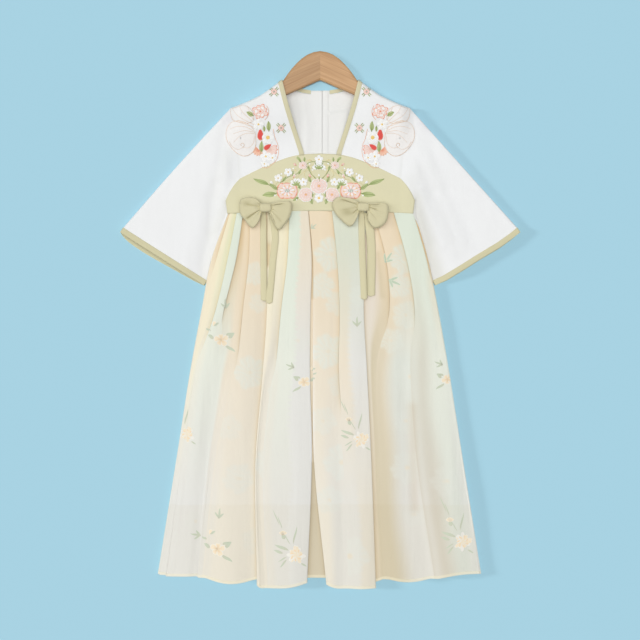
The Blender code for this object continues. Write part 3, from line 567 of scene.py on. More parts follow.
def piece(name, points, faces, material, nodes=(), wall=0.0, colours=None):
    """A riding object from points in millimetres, shown in place of the CAD nodes that it is named for."""
    mesh = bpy.data.meshes.new(name)
    mesh.from_pydata((np.asarray(points).reshape(-1, 3) * MM).tolist(), [], faces)
    if colours is not None:
        layer = mesh.color_attributes.new("print", "FLOAT_COLOR", "POINT")
        opaque = np.insert(np.reshape(colours, (-1, 3)), 3, 1.0, axis=1)
        layer.data.foreach_set("color", opaque.astype(np.float32).ravel())
    mesh.materials.append(material)
    mesh.shade_smooth()
    obj = placed(name, mesh)
    if wall:
        thicken = obj.modifiers.new("wall", "SOLIDIFY")
        thicken.thickness = wall * MM
        thicken.offset = 0.0
    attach(obj, "root")
    if nodes:
        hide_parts(*nodes)
    return obj


def cloth(name, grid, material, nodes=(), wall=0.8, ring=False, colours=None):
    faces = grid_faces(*grid.shape[:2], ring)
    return piece(name, grid, faces, material, nodes, wall, colours)


# The area worked out for a piece is at least this share of width times length.
LEAST_AREA = 0.301


def declare(grid, ring=False, width=None, length=None):
    """Works out a cloth piece's cut from its middle surface, and then does nothing with it: its area, and the
    lengths of its rows and columns where no width or length is given in millimetres."""
    around = np.concatenate([grid, grid[:, :1]], axis=1) if ring else grid
    width = (width or np.linalg.norm(np.diff(around, axis=1), axis=-1).sum(axis=1).max()) * MM
    length = (length or np.linalg.norm(np.diff(around, axis=0), axis=-1).sum(axis=0).max()) * MM
    crossed = np.cross(around[1:, 1:] - around[:-1, :-1], around[1:, :-1] - around[:-1, 1:])
    area = np.linalg.norm(crossed, axis=-1).sum() / 2 * MM * MM
    area = float(np.clip(area, LEAST_AREA * width * length, width * length))


def chaikin(table, rounds):
    """Cuts the corners of every row of a grid, ends kept."""
    for _ in range(rounds):
        near = 0.75 * table[:, :-1] + 0.25 * table[:, 1:]
        far = 0.25 * table[:, :-1] + 0.75 * table[:, 1:]
        inner = np.stack([near, far], axis=2).reshape(table.shape[0], -1, table.shape[2])
        table = np.concatenate([table[:, :1], inner[:, 1:-1], table[:, -1:]], axis=1)
    return table


class Surface:
    """Finds heights, in millimetres, on the pieces that embroidery and print lie on."""

    def __init__(self, objects):
        graph = bpy.context.evaluated_depsgraph_get()
        graph.update()
        points = []
        faces = []
        for obj in objects:
            shape = obj.evaluated_get(graph).to_mesh()
            first = len(points)
            points += [vertex.co.copy() for vertex in shape.vertices]
            faces += [tuple(first + k for k in face.vertices) for face in shape.polygons]
        self.tree = BVHTree.FromPolygons(points, faces)

    def height(self, x, y, otherwise=0.0):
        hit = self.tree.ray_cast(Vector((x * MM, y * MM, 0.1)), Vector((0.0, 0.0, -1.0)))
        return otherwise if hit[0] is None else hit[0].z / MM

    def lay(self, plan, lift):
        """Adds to points seen from above the height below them and a lift, or nan where nothing is below."""
        return raised(plan, np.array([self.height(x, y, np.nan) for x, y in plan]) + lift)


# ---- skirt ----

# Rows of the skirt's front, and rows and columns of other cloth.
FINE_ROWS = 222
BACK_GRID = (60, 121)
BODICE_GRID = (60, 150)
FRONT_COLUMNS = 44
BAND_GRID = (48, 61)
SLEEVE_COLUMNS = 78
LOOP_GRID = (30, 111)
# Colours of each panel of the skirt from its left edge to its right one, at the waist, half way and at the
# hem, with where the left colour gives way to the right one and how softly.
Stripe = namedtuple("Stripe", "waist middle hem split soft")
STRIPES = [Stripe(*row) for row in (
    (("cream", "peach"), ("soft_peach", "soft_cream"), ("soft_cream", "pearl"), 0.5, 0.4),
    (("cream", "lime"), ("cream", "soft_cream"), ("pearl", "pearl"), 0.5, 0.4),
    (("mint", "mint"), ("dew", "dew"), ("pearl", "pearl"), 0.5, 0.5),
    (("tan", "peach"), ("dew", "soft_peach"), ("pearl", "chalk"), 0.45, 0.4),
    (("peach", "peach"), ("soft_peach", "soft_peach"), ("warm_sand", "warm_sand"), 0.5, 0.5),
    (("cream", "cream"), ("soft_cream", "sand"), ("warm_sand", "sand"), 0.45, 0.3),
    (("mint", "soft_peach"), ("dew", "pearl"), ("chalk", "pearl"), 0.55, 0.1),
    (("peach", "peach"), ("soft_cream", "soft_cream"), ("straw_dark", "straw_dark"), 0.5, 0.5),
    (("peach", "peach"), ("soft_peach", "soft_peach"), ("warm_sand", "chalk"), 0.5, 0.5),
    (("mint_under_bow_shade", "mint_under_bow_shade"), ("soft_peach", "pearl"), ("chalk", "sand"), 0.45, 0.25),
    (("lilac", "peach"), ("sand", "straw_hem"), ("dusk_peach", "straw_hem"), 0.5, 0.5),
    (("peach", "peach"), ("dusk_peach", "grey_mint"), ("straw_hem", "chalk"), 0.38, 0.62),
    (("mint", "mint"), ("dusk_mint", "dew"), ("sand_in_shade", "grey_mint"), 0.45, 0.5),
    (("apricot", "apricot"), ("dew", "dew"), ("pearl", "pearl"), 0.5, 0.5),
)]
# Shares of the way down where the three rows of colours hold.
COLOUR_STOPS = (0.08, 0.4, 0.8)
# Pale blossoms printed on the skirt: middle, radius, how strongly they show and the panel that they are on.
Blossom = namedtuple("Blossom", "x y radius strength panel")
BLOSSOMS = [Blossom(*row) for row in (
    (17, 99, 27, 0.85, 8), (2, 52, 21, 0.75, 8), (26, 26, 20, 0.6, 8), (12, -46, 27, 0.8, 8),
    (30, -96, 20, 0.5, 8), (4, -150, 22, 0.5, 8), (32, -212, 28, 0.7, 8), (14, -268, 22, 0.6, 8),
    (44, -352, 30, 0.7, 9), (126, 92, 24, 0.85, 11), (118, 52, 20, 0.7, 11), (128, 8, 22, 0.6, 11),
    (106, -30, 20, 0.6, 11), (134, -84, 24, 0.5, 11), (128, -150, 20, 0.4, 11), (130, -220, 26, 0.5, 11),
    (140, -290, 20, 0.4, 11), (-99, 70, 19, 0.6, 4), (-92, 26, 16, 0.5, 4), (-105, -78, 26, 0.7, 4),
    (-136, -160, 20, 0.4, 4), (-122, -236, 24, 0.5, 4), (-80, -214, 22, 0.6, 5), (-94, -330, 24, 0.4, 4),
    (-186, -300, 18, 0.3, 2), (60, 36, 18, 0.4, 9), (-60, -110, 20, 0.4, 5), (-34, -30, 20, 0.3, 6),
    (188, -240, 24, 0.3, 12),
)]
HEM_HEIGHT = 4.6
SKIRT_LENGTH = 560
SOFTEN = 9
HEM_RISE = 0.45
TUCKED = 0.3
# Painted shade beside a shut fold, warmer and darker, reaches this far: partly the crease's shadow and partly
# chiffon lying in layers.
CREASE_SHADE_REACH = 3.5
# Colours run into each other this far either side of a fold that has opened.
BLEND_REACH = 11
# Depth, in red, green and blue, of the painted shade beside a shut fold, and of the darker chiffon beyond the
# lining's hem.
CREASE_SHADE_TINT = (0.10, 0.16, 0.26)
BARE_TINT = (0.02, 0.03, 0.055)


def fine_columns(share):
    """The skirt's columns at each share with extra ones between folds, each with its place in the panels."""
    places = [0.0, 0.3, 0.6]
    for k, fold in enumerate(FOLDS):
        extra = PANELS[k].columns
        places += [k + (n + 1) / (extra + 1) for n in range(extra)]
        shut = (-0.03, -0.01, 0.0, 0.0, 0.0) if fold.over > 0 else (-0.001, -0.001, -0.001, 0.01, 0.03)
        places += [k + 1 + step for step in shut]
    last = len(PANELS) - 1
    return skirt_columns(share), places + [last + 0.4, last + 0.7, last + 1.0 - 1e-6]


def skirt_grid(share):
    """Points of the skirt's front and their places in its panels."""
    table = []
    for (across, height, hem), place in zip(*fine_columns(share)):
        start = waist(across[0]) + TUCKED
        y = start + share * (hem - start)
        table.append(np.stack(np.broadcast_arrays(across, y, height, place), axis=-1))
    table = chaikin(np.stack(table, axis=1), 2)
    return table[..., :3], table[..., 3]


def soft_folds(grid, place, share):
    """Heights evened out where folds have opened, with small uneven waves that grow towards the hem."""
    x, y, z = (grid[..., k] for k in range(3))
    shut = np.zeros(len(share))
    opened = np.stack([shut, *(opening(fold, share) for fold in FOLDS), shut], axis=1)
    loose = np.stack([np.interp(p, range(len(PANELS) + 1), row) for p, row in zip(place, opened)])
    step = np.maximum(np.abs(np.gradient(x, axis=1)), 1e-6)
    smoothed = z.copy()
    for r in range(len(share)):
        weight = np.exp(-(((x[r][:, None] - x[r][None]) / SOFTEN) ** 2)) * step[r]
        smoothed[r] = weight @ z[r] / weight.sum(axis=1)
    z = z + (smoothed - z) * smooth(loose * 1.3)
    panel = np.floor(place)
    inside = place - panel
    free = smooth(inside / 0.2) * smooth((1.0 - inside) / 0.2)
    ripple = np.sin(x * (0.085 + 0.009 * np.cos(panel * 2.1)) + panel * 1.7 + 0.9 * np.sin(y / 83.0 + panel))
    depth = 0.1 + 0.8 * share[:, None] ** 1.3
    return z + ripple * depth * free


def panel_colours(grid, place, share):
    """Colour of each point of the skirt: striped panels with pale blossoms, paler towards the hem, with
    painted shade beside shut folds and the shade table's painted shade and highlight.
    """
    panel = np.clip(np.floor(place).astype(int), 0, len(PANELS) - 1)
    inside = place - np.floor(place)
    x, y = grid[..., 0], grid[..., 1]
    rows = zip(*(stripe[:3] for stripe in STRIPES))
    held = np.array([[[linear(name) for name in pair] for pair in row] for row in rows])
    split, soft = (np.array([stripe[k] for stripe in STRIPES])[panel] for k in (3, 4))
    ragged = 0.07 * np.abs(np.sin(y / 2.7)) * smooth((0.45 - soft) / 0.2) + 0.05 * np.sin(y / 31.0 + panel)
    down = np.interp(share, COLOUR_STOPS, (0.0, 1.0, 2.0))
    upper = np.clip(np.floor(down).astype(int), 0, 1)
    ends = blend(held[upper], held[upper + 1], (down - upper)[:, None, None])
    here = np.arange(len(share))[:, None]
    mix = smooth((inside + ragged - split) / soft + 0.5)
    colours = blend(ends[here, panel, 0], ends[here, panel, 1], mix)
    for k, fold in enumerate(FOLDS):
        away = np.abs(x - along(DOWN, fold.across, share)[:, None])
        mixed = 0.5 * opening(fold, share)[:, None] * (1.0 - smooth(away / BLEND_REACH))
        other = np.where((panel == k)[..., None], ends[:, None, k + 1, 0], ends[:, None, k, 1])
        colours = blend(colours, other, mixed * ((panel == k) | (panel == k + 1)))
    faded = blend(linear("blossom"), linear("haze"), share[:, None])
    for n, blossom in enumerate(BLOSSOMS):
        on_panel = panel == blossom.panel
        angle = np.arctan2(y - blossom.y, x - blossom.x)
        lobes = 0.86 + 0.2 * np.abs(np.sin(2.5 * angle + n)) + 0.05 * np.sin(9 * angle + 2 * n)
        edge = blossom.radius * lobes
        away = np.hypot(x - blossom.x, y - blossom.y)
        hollow = 0.45 * smooth((0.5 * edge - np.abs(away - 0.55 * edge)) / 6.0) * np.sin(7 * angle + n) ** 2
        petal = smooth((edge - away) / 4.5) * (1.0 - hollow) * blossom.strength
        core = smooth((0.2 * blossom.radius - away) / 4.0)
        colours = blend(colours, faded, petal * on_panel)
        colours = blend(colours, linear("peach"), 0.5 * core * on_panel)
    # Painted shade in the crease on the low side of each shut fold, partly the warmer tone of chiffon in
    # layers.
    for k, fold in enumerate(FOLDS):
        below = panel == (k if fold.over > 0 else k + 1)
        away = np.abs(x - along(DOWN, fold.across, share)[:, None])
        shut = (1.0 - opening(fold, share))[:, None]
        colours = darker(colours, np.exp(-away / CREASE_SHADE_REACH) * below * shut, CREASE_SHADE_TINT)
    colours = darker(colours, smooth((LINING_HEM - y) / 1.5 + 0.5), BARE_TINT)
    return add_painted_shade(colours, x, y, PAINTED_SHADE_IN_SKIRT)


LINING_HEM = -275
# Painted shade in cloth: a run, how far it reaches, and the shade's depth in red, green and blue. A depth
# below nought is a painted highlight, paler.
Shade = namedtuple("Shade", "line reach depth")
# On the skirt: painted shade between the left bow's tails, beside the right bow's tail and in panel 11 beside
# its right fold, and a painted highlight down panel 7.
PAINTED_SHADE_IN_SKIRT = [Shade(*row) for row in (
    (((-77, 152), (-77, 118)), 4.4, (0.17, 0.19, 0.24)),
    (((-77.4, 112), (-78.4, 84)), 4.4, (0.22, 0.31, 0.44)),
    (((-11.9, 30), (-11.2, -210)), 2, (-0.17, -0.21, -0.34)), (((86, 100), (93, 36)), 4, (0.09, 0.1, 0.16)),
    (((137, -130), (141, -280)), 8, (0.07, 0.12, 0.17)),
)]


def add_painted_shade(colours, x, y, shades):
    """Colours with painted shade, or a painted highlight, along the table's runs."""
    for shade in shades:
        near = np.exp(-((line_distance(x, y, shade.line) / shade.reach) ** 2))
        colours = darker(colours, near, shade.depth)
    return colours


# The hem in section: how far up each row of it lies and how far it stands out, as shares.
HEM_SECTION = ((1, 0.1), (0.94, 0.75), (0.75, 1), (0.5, 0.9), (0.25, 1), (0.06, 0.7), (0, 0))


def skirt_front():
    def folded(share):
        grid, place = skirt_grid(share)
        grid[..., 2] = soft_folds(grid, place, share)
        return grid, panel_colours(grid, place, share)

    grid, colours = folded(evenly(FINE_ROWS))
    front = cloth("chiffon_front", grid, chiffon, ["skirt_front"], 0.0, colours=colours)
    up, out = np.transpose(HEM_SECTION)
    hem_grid, tint = folded(1.0 - up * HEM_HEIGHT / SKIRT_LENGTH)
    hem_grid[..., 2] += (out * HEM_RISE)[:, None]
    tint = blend(tint, linear("cream"), 0.45)
    hem = cloth("chiffon_hem", hem_grid, chiffon, wall=0.0, colours=tint)
    declare(grid)
    return front


BACK_PLEATS = 12
BACK_RISE = 0.25


def skirt_back():
    """The back of the skirt, pressed flat under the rest, striped like the front."""
    share = evenly(BACK_GRID[0])
    hem = np.array(BACK_HEM)
    left = along(DOWN, SIDE_LEFT, share) + BACK_SIDE
    right = along(DOWN, SIDE_RIGHT, share) - BACK_SIDE
    steps = evenly(BACK_GRID[1])
    across = left[:, None] + steps[None] * (right - left)[:, None]
    start = waist(across[0]) - GAP
    end = np.interp(across[-1], hem[:, 0], hem[:, 1])
    y = start + share[:, None] * (end - start)
    pleat = np.maximum(0.0, np.sin(np.pi * BACK_PLEATS * steps)) ** 3
    z = BACK + BACK_RISE * pleat[None] * smooth(share * 4)[:, None]
    grid = np.stack([across, y, z], axis=-1)
    place = np.clip(np.broadcast_to(steps * BACK_PLEATS + 1.0, y.shape), 0.0, BACK_PLEATS + 0.999)
    colours = panel_colours(grid, place, share)
    back = cloth("chiffon_back", grid, chiffon, ["skirt_back"], 0.9, colours=colours)
    declare(grid)


# ---- bodice, chest band and sleeves ----

# Share of a cuff's bow that its front layer has, by side. The back layer has all of it.
CUFF_FRONT_BULGE = {-1: 0.04, 1: 0.74}
# How far each cuff stands out at shares of its edge, from the sleeve's tip to the underarm.
CUFF_BOW = {
    -1: (
        (0, 0.6), (0.05, 3.6), (0.11, 5.8), (0.2, 6.8), (0.3, 7.2), (0.46, 6.3), (0.66, 4.6), (0.88, 2.8),
        (1, 0.6),
    ),
    1: ((0, 0), (0.1, 2.4), (0.25, 4.2), (0.5, 3.3), (0.68, 3.6), (0.88, 3), (1, 0)),
}

FINE = evenly(64)


def bodice_front(side, name):
    inner = neck_line(side, BINDING_WIDTH - UNDERLAP, FINE)
    outer = armhole(side, FINE)
    across = evenly(FRONT_COLUMNS)
    shoulder = chord(((abs(inner[0, 0]), inner[0, 1]), *SHOULDER_LINE[1:]), across)
    ends = np.linspace(abs(inner[-1, 0]), BAND_TOP[-1][0], len(across))
    table = np.array(BAND_TOP)
    bottom = np.stack([ends, along(table[:, 0], table[:, 1], ends) - UNDERLAP], axis=-1)
    inner[-1] = mirrored(bottom[0], side)
    outer[-1] = mirrored(bottom[-1], side)
    grid = with_height(coons(mirrored(shoulder, side), mirrored(bottom, side), inner, outer))
    front = cloth(f"crepe_front_{name}", grid, crepe, [f"bodice_front_{name}"], 0.0,
                  colours=white_with_painted_shade(grid))
    plan = np.stack([neck_line(side, BINDING_WIDTH * k, FINE) for k in BINDING_STEPS], axis=1)
    plan[-1, :, 1] = along(table[:, 0], table[:, 1], np.abs(plan[-1, :, 0])) - UNDERLAP
    strip = with_height(plan)
    strip[..., 2] += TRIM_RISE + BINDING_CROWN * np.sin(np.pi * np.array(BINDING_STEPS))
    binding = cloth(f"binding_front_{name}", strip, binding_cloth,
                    [f"neck_binding_front_{name}"])
    declare(grid)
    return front


BINDING_STEPS = (0, 0.06, 0.2, 0.5, 0.8, 0.94, 1)
BINDING_CROWN = 0.5
# How far cloth runs on under the piece sewn over it, and how much higher that piece lies.
UNDERLAP = 1.5
TRIM_RISE = 0.35
BACK_NECK = ((13.6, 344.5), (13.9, 339.2), (30, 341.7), (45, 347.7), (56.5, 354.6), (62.6, 355.6))
BACK_BOTTOM = 212.5
# The placket runs between these, raised this much with edges this wide.
PLACKET = (3, 12.6)
PLACKET_RISE = 0.9
PLACKET_EDGE = 0.7
# Creases in the back: height, width and line.
BACK_CREASES = (
    (1.2, 2.6, ((14, 312), (26, 316), (38, 317))),
    (1.5, 7, ((-26, 330), (-20, 290), (-22, 250))),
)


def bodice_back():
    """The back in one flat sheet, with its centre placket as a raised strip."""
    edge = BAND_TOP[-1][0]
    half = [(x, BACK_NECK[0][1]) for x in (0.0, *PLACKET)] + [*BACK_NECK, *SHOULDER_LINE[1:]]
    top = np.concatenate([mirrored(half[:0:-1], -1), half])
    across = np.unique(np.concatenate([shares(top), evenly(BODICE_GRID[1])]))
    top = chord(top, across)
    bottom = np.stack([np.clip(top[:, 0], -edge, edge), np.full(len(across), BACK_BOTTOM)], axis=-1)
    down = evenly(BODICE_GRID[0])[:, None, None]
    plan = top[None] * (1 - down) + bottom[None] * down
    edge = armhole(1, down.ravel())
    reach = np.interp(plan[..., 1], edge[::-1, 1], edge[::-1, 0])
    plan[..., 0] = np.clip(plan[..., 0], -reach, reach)
    x, y = plan[..., 0], plan[..., 1]
    near, far = (smooth(away / PLACKET_EDGE) for away in (x - PLACKET[0], PLACKET[1] - x))
    z = BACK + PLACKET_RISE * near * far
    for height, width, line in BACK_CREASES:
        z = z + height * np.exp(-((line_distance(x, y, line) / width) ** 2))
    grid = raised(plan, z)
    back = cloth("crepe_back", grid, inside_crepe,
                 ["bodice_back_left", "bodice_back_right", "back_placket"])
    declare(grid)
    return back


def band_front():
    halves = []
    spread = evenly(BAND_GRID[1])
    for side in (-1, 1):
        top = trace(BAND_TOP, spread)
        bottom = np.stack([spread * BAND_CORNER[0], waist(spread * BAND_CORNER[0])], axis=-1)
        edge = chord(BAND_EDGE, evenly(BAND_GRID[0]))
        middle = np.linspace(top[0], bottom[0], len(edge))
        halves.append(coons(*(mirrored(line, side) for line in (top, bottom, middle, edge))))
    grid = with_height(np.concatenate([halves[0][:, :0:-1], halves[1]], axis=1))
    grid[..., 2] += TRIM_RISE
    band = cloth("crepe_band", grid, band_cloth, ["chest_band_front"])
    declare(grid)
    return band


# Painted shade on the white crepe: soft folds of the sleeves, the skirt's shade on the right sleeve, spots at
# the shoulder tips, along the armholes and shoulders, and round the shoulder embroidery.
PAINTED_SHADE_IN_CREPE = [Shade(*row) for row in (
    (((139, 176), (156, 125), (170, 84), (178, 58)), 13, (0.12, 0.13, 0.18)),
    (((136, 210), (148, 176), (166, 120)), 9, (0.05, 0.05, 0.06)),
    (((150, 225), (186, 150), (202, 100)), 13, (0.035, 0.035, 0.04)),
    (((178, 230), (206, 160), (226, 108)), 10, (0.025, 0.025, 0.025)),
    (((156, 300), (161, 294)), 12, (0.07, 0.09, 0.07)), (((-133, 306), (-139, 300)), 9, (0.07, 0.09, 0.08)),
    (((-140, 250), (-156, 180), (-164, 130)), 9, (0.02, 0.02, 0.035)),
    (((-141, 176), (-160, 120), (-176, 60)), 8, (0.02, 0.025, 0.05)),
    (((128, 296), (123, 252), (119.4, 214)), 2.2, (0.05, 0.05, 0.06)),
    (((-128, 296), (-123, 252), (-119.4, 214)), 2.2, (0.04, 0.04, 0.05)),
    (((60, 352), (118, 328)), 9, (0.02, 0.03, 0.05)),
    (((90, 312), (86, 275), (80, 236)), 15, (0.03, 0.04, 0.045)),
    (((-90, 312), (-86, 275), (-80, 236)), 15, (0.03, 0.04, 0.045)),
    (((-66, 350), (-122, 326)), 9, (0.02, 0.03, 0.05)),
)]


def white_with_painted_shade(points):
    """White cloth with painted shade along the table's lines."""
    x, y = points[..., 0], points[..., 1]
    return add_painted_shade(np.broadcast_to(linear("white"), (*x.shape, 3)), x, y, PAINTED_SHADE_IN_CREPE)


def sleeve(side, name):
    rows = evenly(SLEEVE_COLUMNS)
    near = armhole(1, FINE)
    under = [(x - UNDERLAP, y) for x, y in BAND_EDGE]
    under += [(side * float(under_edge(side, y)) - UNDERLAP - 2 * GAP, y) for y in UNDER_STOPS[1:]]
    under = chord(under, rows)
    under[0] = near[-1]
    top = chord((SHOULDER_TIP, SLEEVE_TIP), rows) + TOP_BOW[side] * (4 * rows * (1 - rows))[:, None]
    far = chord((SLEEVE_TIP, under[-1]), FINE)
    plan = coons(top, under, near, far)
    run = far[-1] - far[0]
    out = np.array([-run[1], run[0]]) / np.linalg.norm(run)
    bulge = rows[None, :, None] ** 2 * np.interp(FINE, *zip(*CUFF_BOW[side]))[:, None, None] * out
    front = plan + CUFF_FRONT_BULGE[side] * bulge
    back = plan + bulge
    sections = np.stack([sleeve_section(side, front[:, k], back[:, k]) for k in range(len(rows))])
    tube = cloth(f"crepe_sleeve_{name}", sections, crepe, [f"sleeve_{name}"], 0.0, True,
                 white_with_painted_shade(sections))
    steps = np.array(BINDING_STEPS)
    rises = TRIM_RISE + BINDING_CROWN * np.sin(np.pi * steps)
    cuff = [sleeve_section(side, front[:, -1] + out * width, back[:, -1] + out * width, rise)
            for width, rise in zip(steps * CUFF_WIDTH - 0.6, rises)]
    binding = cloth(f"cuff_{name}", np.stack(cuff), cuff_cloth, [f"cuff_binding_{name}"],
                    ring=True)
    declare(sections, ring=True)
    return tube


# How far the middle of each sleeve's upper edge stands out, across and up.
TOP_BOW = {-1: np.array([1.1, 1.1]), 1: np.array([0.0, 0.0])}
BACK_POINTS = 40
SLEEVE_ROLL = 0.6


def sleeve_section(side, front, back, rise=0.0):
    """A section round a flattened tube: over its front, round the underarm fold, and back underneath."""
    turn = FOLD_TURN * (front[-1] - front[0]) / np.linalg.norm(front[-1] - front[0])
    upper = front.copy()
    lower = chord(back, evenly(BACK_POINTS))
    for layer in (upper, lower):
        layer[0] += turn
        layer[-1] -= turn
    over = with_height(mirrored(upper, side), SLEEVE_ROLL)
    over[:, 2] = np.maximum(over[:, 2], SEAM) + rise
    start = raised(mirrored(front[:1], side), (over[0, 2] + BACK) / 2)
    end = raised(mirrored(front[-1:], side), (over[-1, 2] + BACK) / 2)
    return np.concatenate([start, over, end, raised(mirrored(lower[::-1], side), BACK)])


# ---- bows ----

# Outline of each loop from the knot's middle, from its upper root round to its lower one, and its creases:
# where each leaves the outline as a share of it, how deep it is, how wide, and how far out it runs. Creases
# get painted shade, and so do its hollows: middle, how far each reaches across and up, and how dark it is.
Loop = namedtuple("Loop", "outline creases hollows")
# Each tail's middle line from the knot's middle, and its width.
Tail = namedtuple("Tail", "line width")
Bow = namedtuple("Bow", "name middle left right left_tail right_tail")
BOWS = (
    Bow(
        "bow_left", (-81.7, 168),
        Loop(
            (
                (-6, 5.4), (-15, 13.4), (-27, 15.4), (-36.4, 12.2), (-38.4, 2), (-37, -10), (-30.6, -18.2),
                (-19, -30.2), (-10, -19.5), (-6, -6.2),
            ),
            ((0.6, 3.6, 0.016, 1.1), (0.36, 2.2, 0.02, 0.9), (0.16, 1, 0.03, 0.6), (0.8, 0.7, 0.03, 0.5)),
            ((-29, 7.4, 8, 3.6, 0.12), (-15, 5.4, 6, 1.8, 0.1)),
        ),
        Loop(
            (
                (6, 6), (16, 7.6), (28, 9.4), (38, 8.6), (39.2, -3), (35, -16), (28.6, -25), (20.8, -33),
                (11, -19), (6, -6.4),
            ),
            ((0.76, 2.4, 0.016, 0.8), (0.3, 2.6, 0.016, 0.75), (0.5, 0.9, 0.03, 0.5), (0.62, 1.2, 0.02, 1)),
            ((20, 4.6, 9, 1.6, 0.1),),
        ),
        Tail(((-3.4, -4), (-3.2, -60), (-2.4, -137)), 9.6),
        Tail(((8, -8), (13.8, -34), (10.4, -84), (5.4, -141)), 10.2),
    ),
    Bow(
        "bow_right", (64, 169),
        Loop(
            (
                (-6, 6.6), (-16, 12), (-28, 14.4), (-41, 13.6), (-45.2, 8), (-43, -6), (-33, -19),
                (-18.5, -28.6), (-10.6, -18), (-6, -6.2),
            ),
            ((0.3, 2.6, 0.022, 0.95), (0.66, 2.8, 0.016, 0.55), (0.5, 1, 0.03, 0.9), (0.84, 0.9, 0.03, 0.5)),
            ((-23, -8, 8.5, 5.5, 0.24), (-28, 9, 13, 2, 0.08)),
        ),
        Loop(
            (
                (6, 5.6), (14, 5.2), (26, 6), (35.6, 4.4), (37.6, -8.4), (32.6, -24), (25, -30),
                (17.4, -31.4), (9, -22), (6, -6.2),
            ),
            (
                (0.26, 2.8, 0.016, 0.8), (0.42, 3.4, 0.016, 0.62), (0.62, 0.8, 0.03, 0.8),
                (0.8, 0.8, 0.03, 0.6),
            ),
            ((18, 1.6, 7, 2, 0.14),),
        ),
        Tail(((-2.6, -4), (-1.4, -60), (1.6, -136)), 9.8), Tail(((6.6, -8), (11, -40), (11.6, -131)), 13.2),
    ),
)
LOOP_BOTTOM = 11.4
LOOP_RISE = 2.4
LOOP_CROWN = 3.2
# How dark the painted shade in a loop's creases is, for each millimetre of crease depth.
CREASE_PAINTED_SHADE = 0.13
KNOT_HALF = (8.8, 6.5, 5.6)
KNOT_MIDDLE = 13.2


def bow_loop(name, node, middle, loop):
    turns = evenly(LOOP_GRID[1])
    rim = trace(loop.outline, turns)
    root = np.linspace(loop.outline[0], loop.outline[-1], len(turns))
    steps = evenly(LOOP_GRID[0])[:, None]
    plan = root + steps[..., None] * (rim - root)
    flat_edge = np.sqrt(1.0 - np.abs(2 * turns - 1) ** 14)
    rolled = np.sqrt(1.0 - np.clip((steps - 0.88) / 0.12, 0.0, 1.0) ** 2)
    thick = LOOP_RISE + LOOP_CROWN * smooth(steps / 0.35) * (1.0 - 0.3 * steps)
    # dusk holds painted shade: in the creases, near the knot where the loops gather, and in the hollows.
    dusk = np.zeros(plan.shape[:2])
    for place, depth, width, reach in loop.creases:
        fan = np.exp(-np.abs(turns - place) / (width * (0.5 + 1.2 * steps)))
        fan = fan * smooth(steps / 0.12) * (1.0 - smooth((steps - reach + 0.3) / 0.3))
        swell = np.exp(-(((turns - place - 2.6 * width) / (2.2 * width)) ** 2))
        thick = thick - depth * fan + 0.22 * depth * swell * smooth(steps / 0.2)
        dusk = dusk + CREASE_PAINTED_SHADE * depth * fan ** 2
    top = LOOP_BOTTOM + 0.4 + np.maximum(thick, 0.5) * rolled * flat_edge
    grid = np.concatenate([raised(plan, top), raised(plan, LOOP_BOTTOM)[::-3]])
    grid[..., :2] += middle
    dusk = np.minimum(dusk, 0.5) + 0.07 * (1.0 - smooth(steps / 0.25))
    for x, y, across, up, dark in loop.hollows:
        dusk = dusk + dark * np.exp(-(((plan[..., 0] - x) / across) ** 2) - ((plan[..., 1] - y) / up) ** 2)
    painted_shade_tints = darker(linear("bow"), dusk, (1.0, 1.05, 1.3))
    painted_shade_tints = np.concatenate([painted_shade_tints, painted_shade_tints[::-3]])
    obj = cloth(name, grid, bow_with_painted_shade, [node], 0.5, colours=painted_shade_tints)
    declare(grid, width=np.ptp(rim[:, 1]))


def bow_knot(name, node, middle):
    """The ribbon wrapped round the middle of a bow, with fine folds across it."""
    around = np.linspace(0.0, 2 * np.pi, 49)[:-1]
    across = np.linspace(-1.0, 1.0, 29)[:, None]
    bulge = 0.45 + 0.55 * (1.0 - np.abs(across) ** 4.0) ** (1 / 2.4)
    y, z = (np.sign(turn) * np.abs(turn) ** 0.7 for turn in (np.cos(around), np.sin(around)))
    fold = bulge * (1.0 + 0.016 * np.sin(across * 8.0 + 0.6))
    width, height, depth = KNOT_HALF
    points = np.stack(np.broadcast_arrays(middle[0] + width * across, middle[1] + height * fold * y,
                                          KNOT_MIDDLE + depth * fold * z), axis=-1)
    faces = grid_faces(*points.shape[:2], ring=True)
    last = (len(across) - 1) * len(around)
    faces += [tuple(range(len(around)))[::-1], tuple(range(last, last + len(around)))]
    piece(name, points, faces, bow_cloth, [node])


TAIL_ROWS = 80
TAIL_COLUMNS = 13
# How far a tail's lower and upper layers lie above the skirt, and the cut of its slanted end.
TAIL_LIFT = (0.3, 0.45)
TAIL_SLANT = 2.4
# A tail rests on the highest cloth within this many of its rows.
REST_REACH = 4


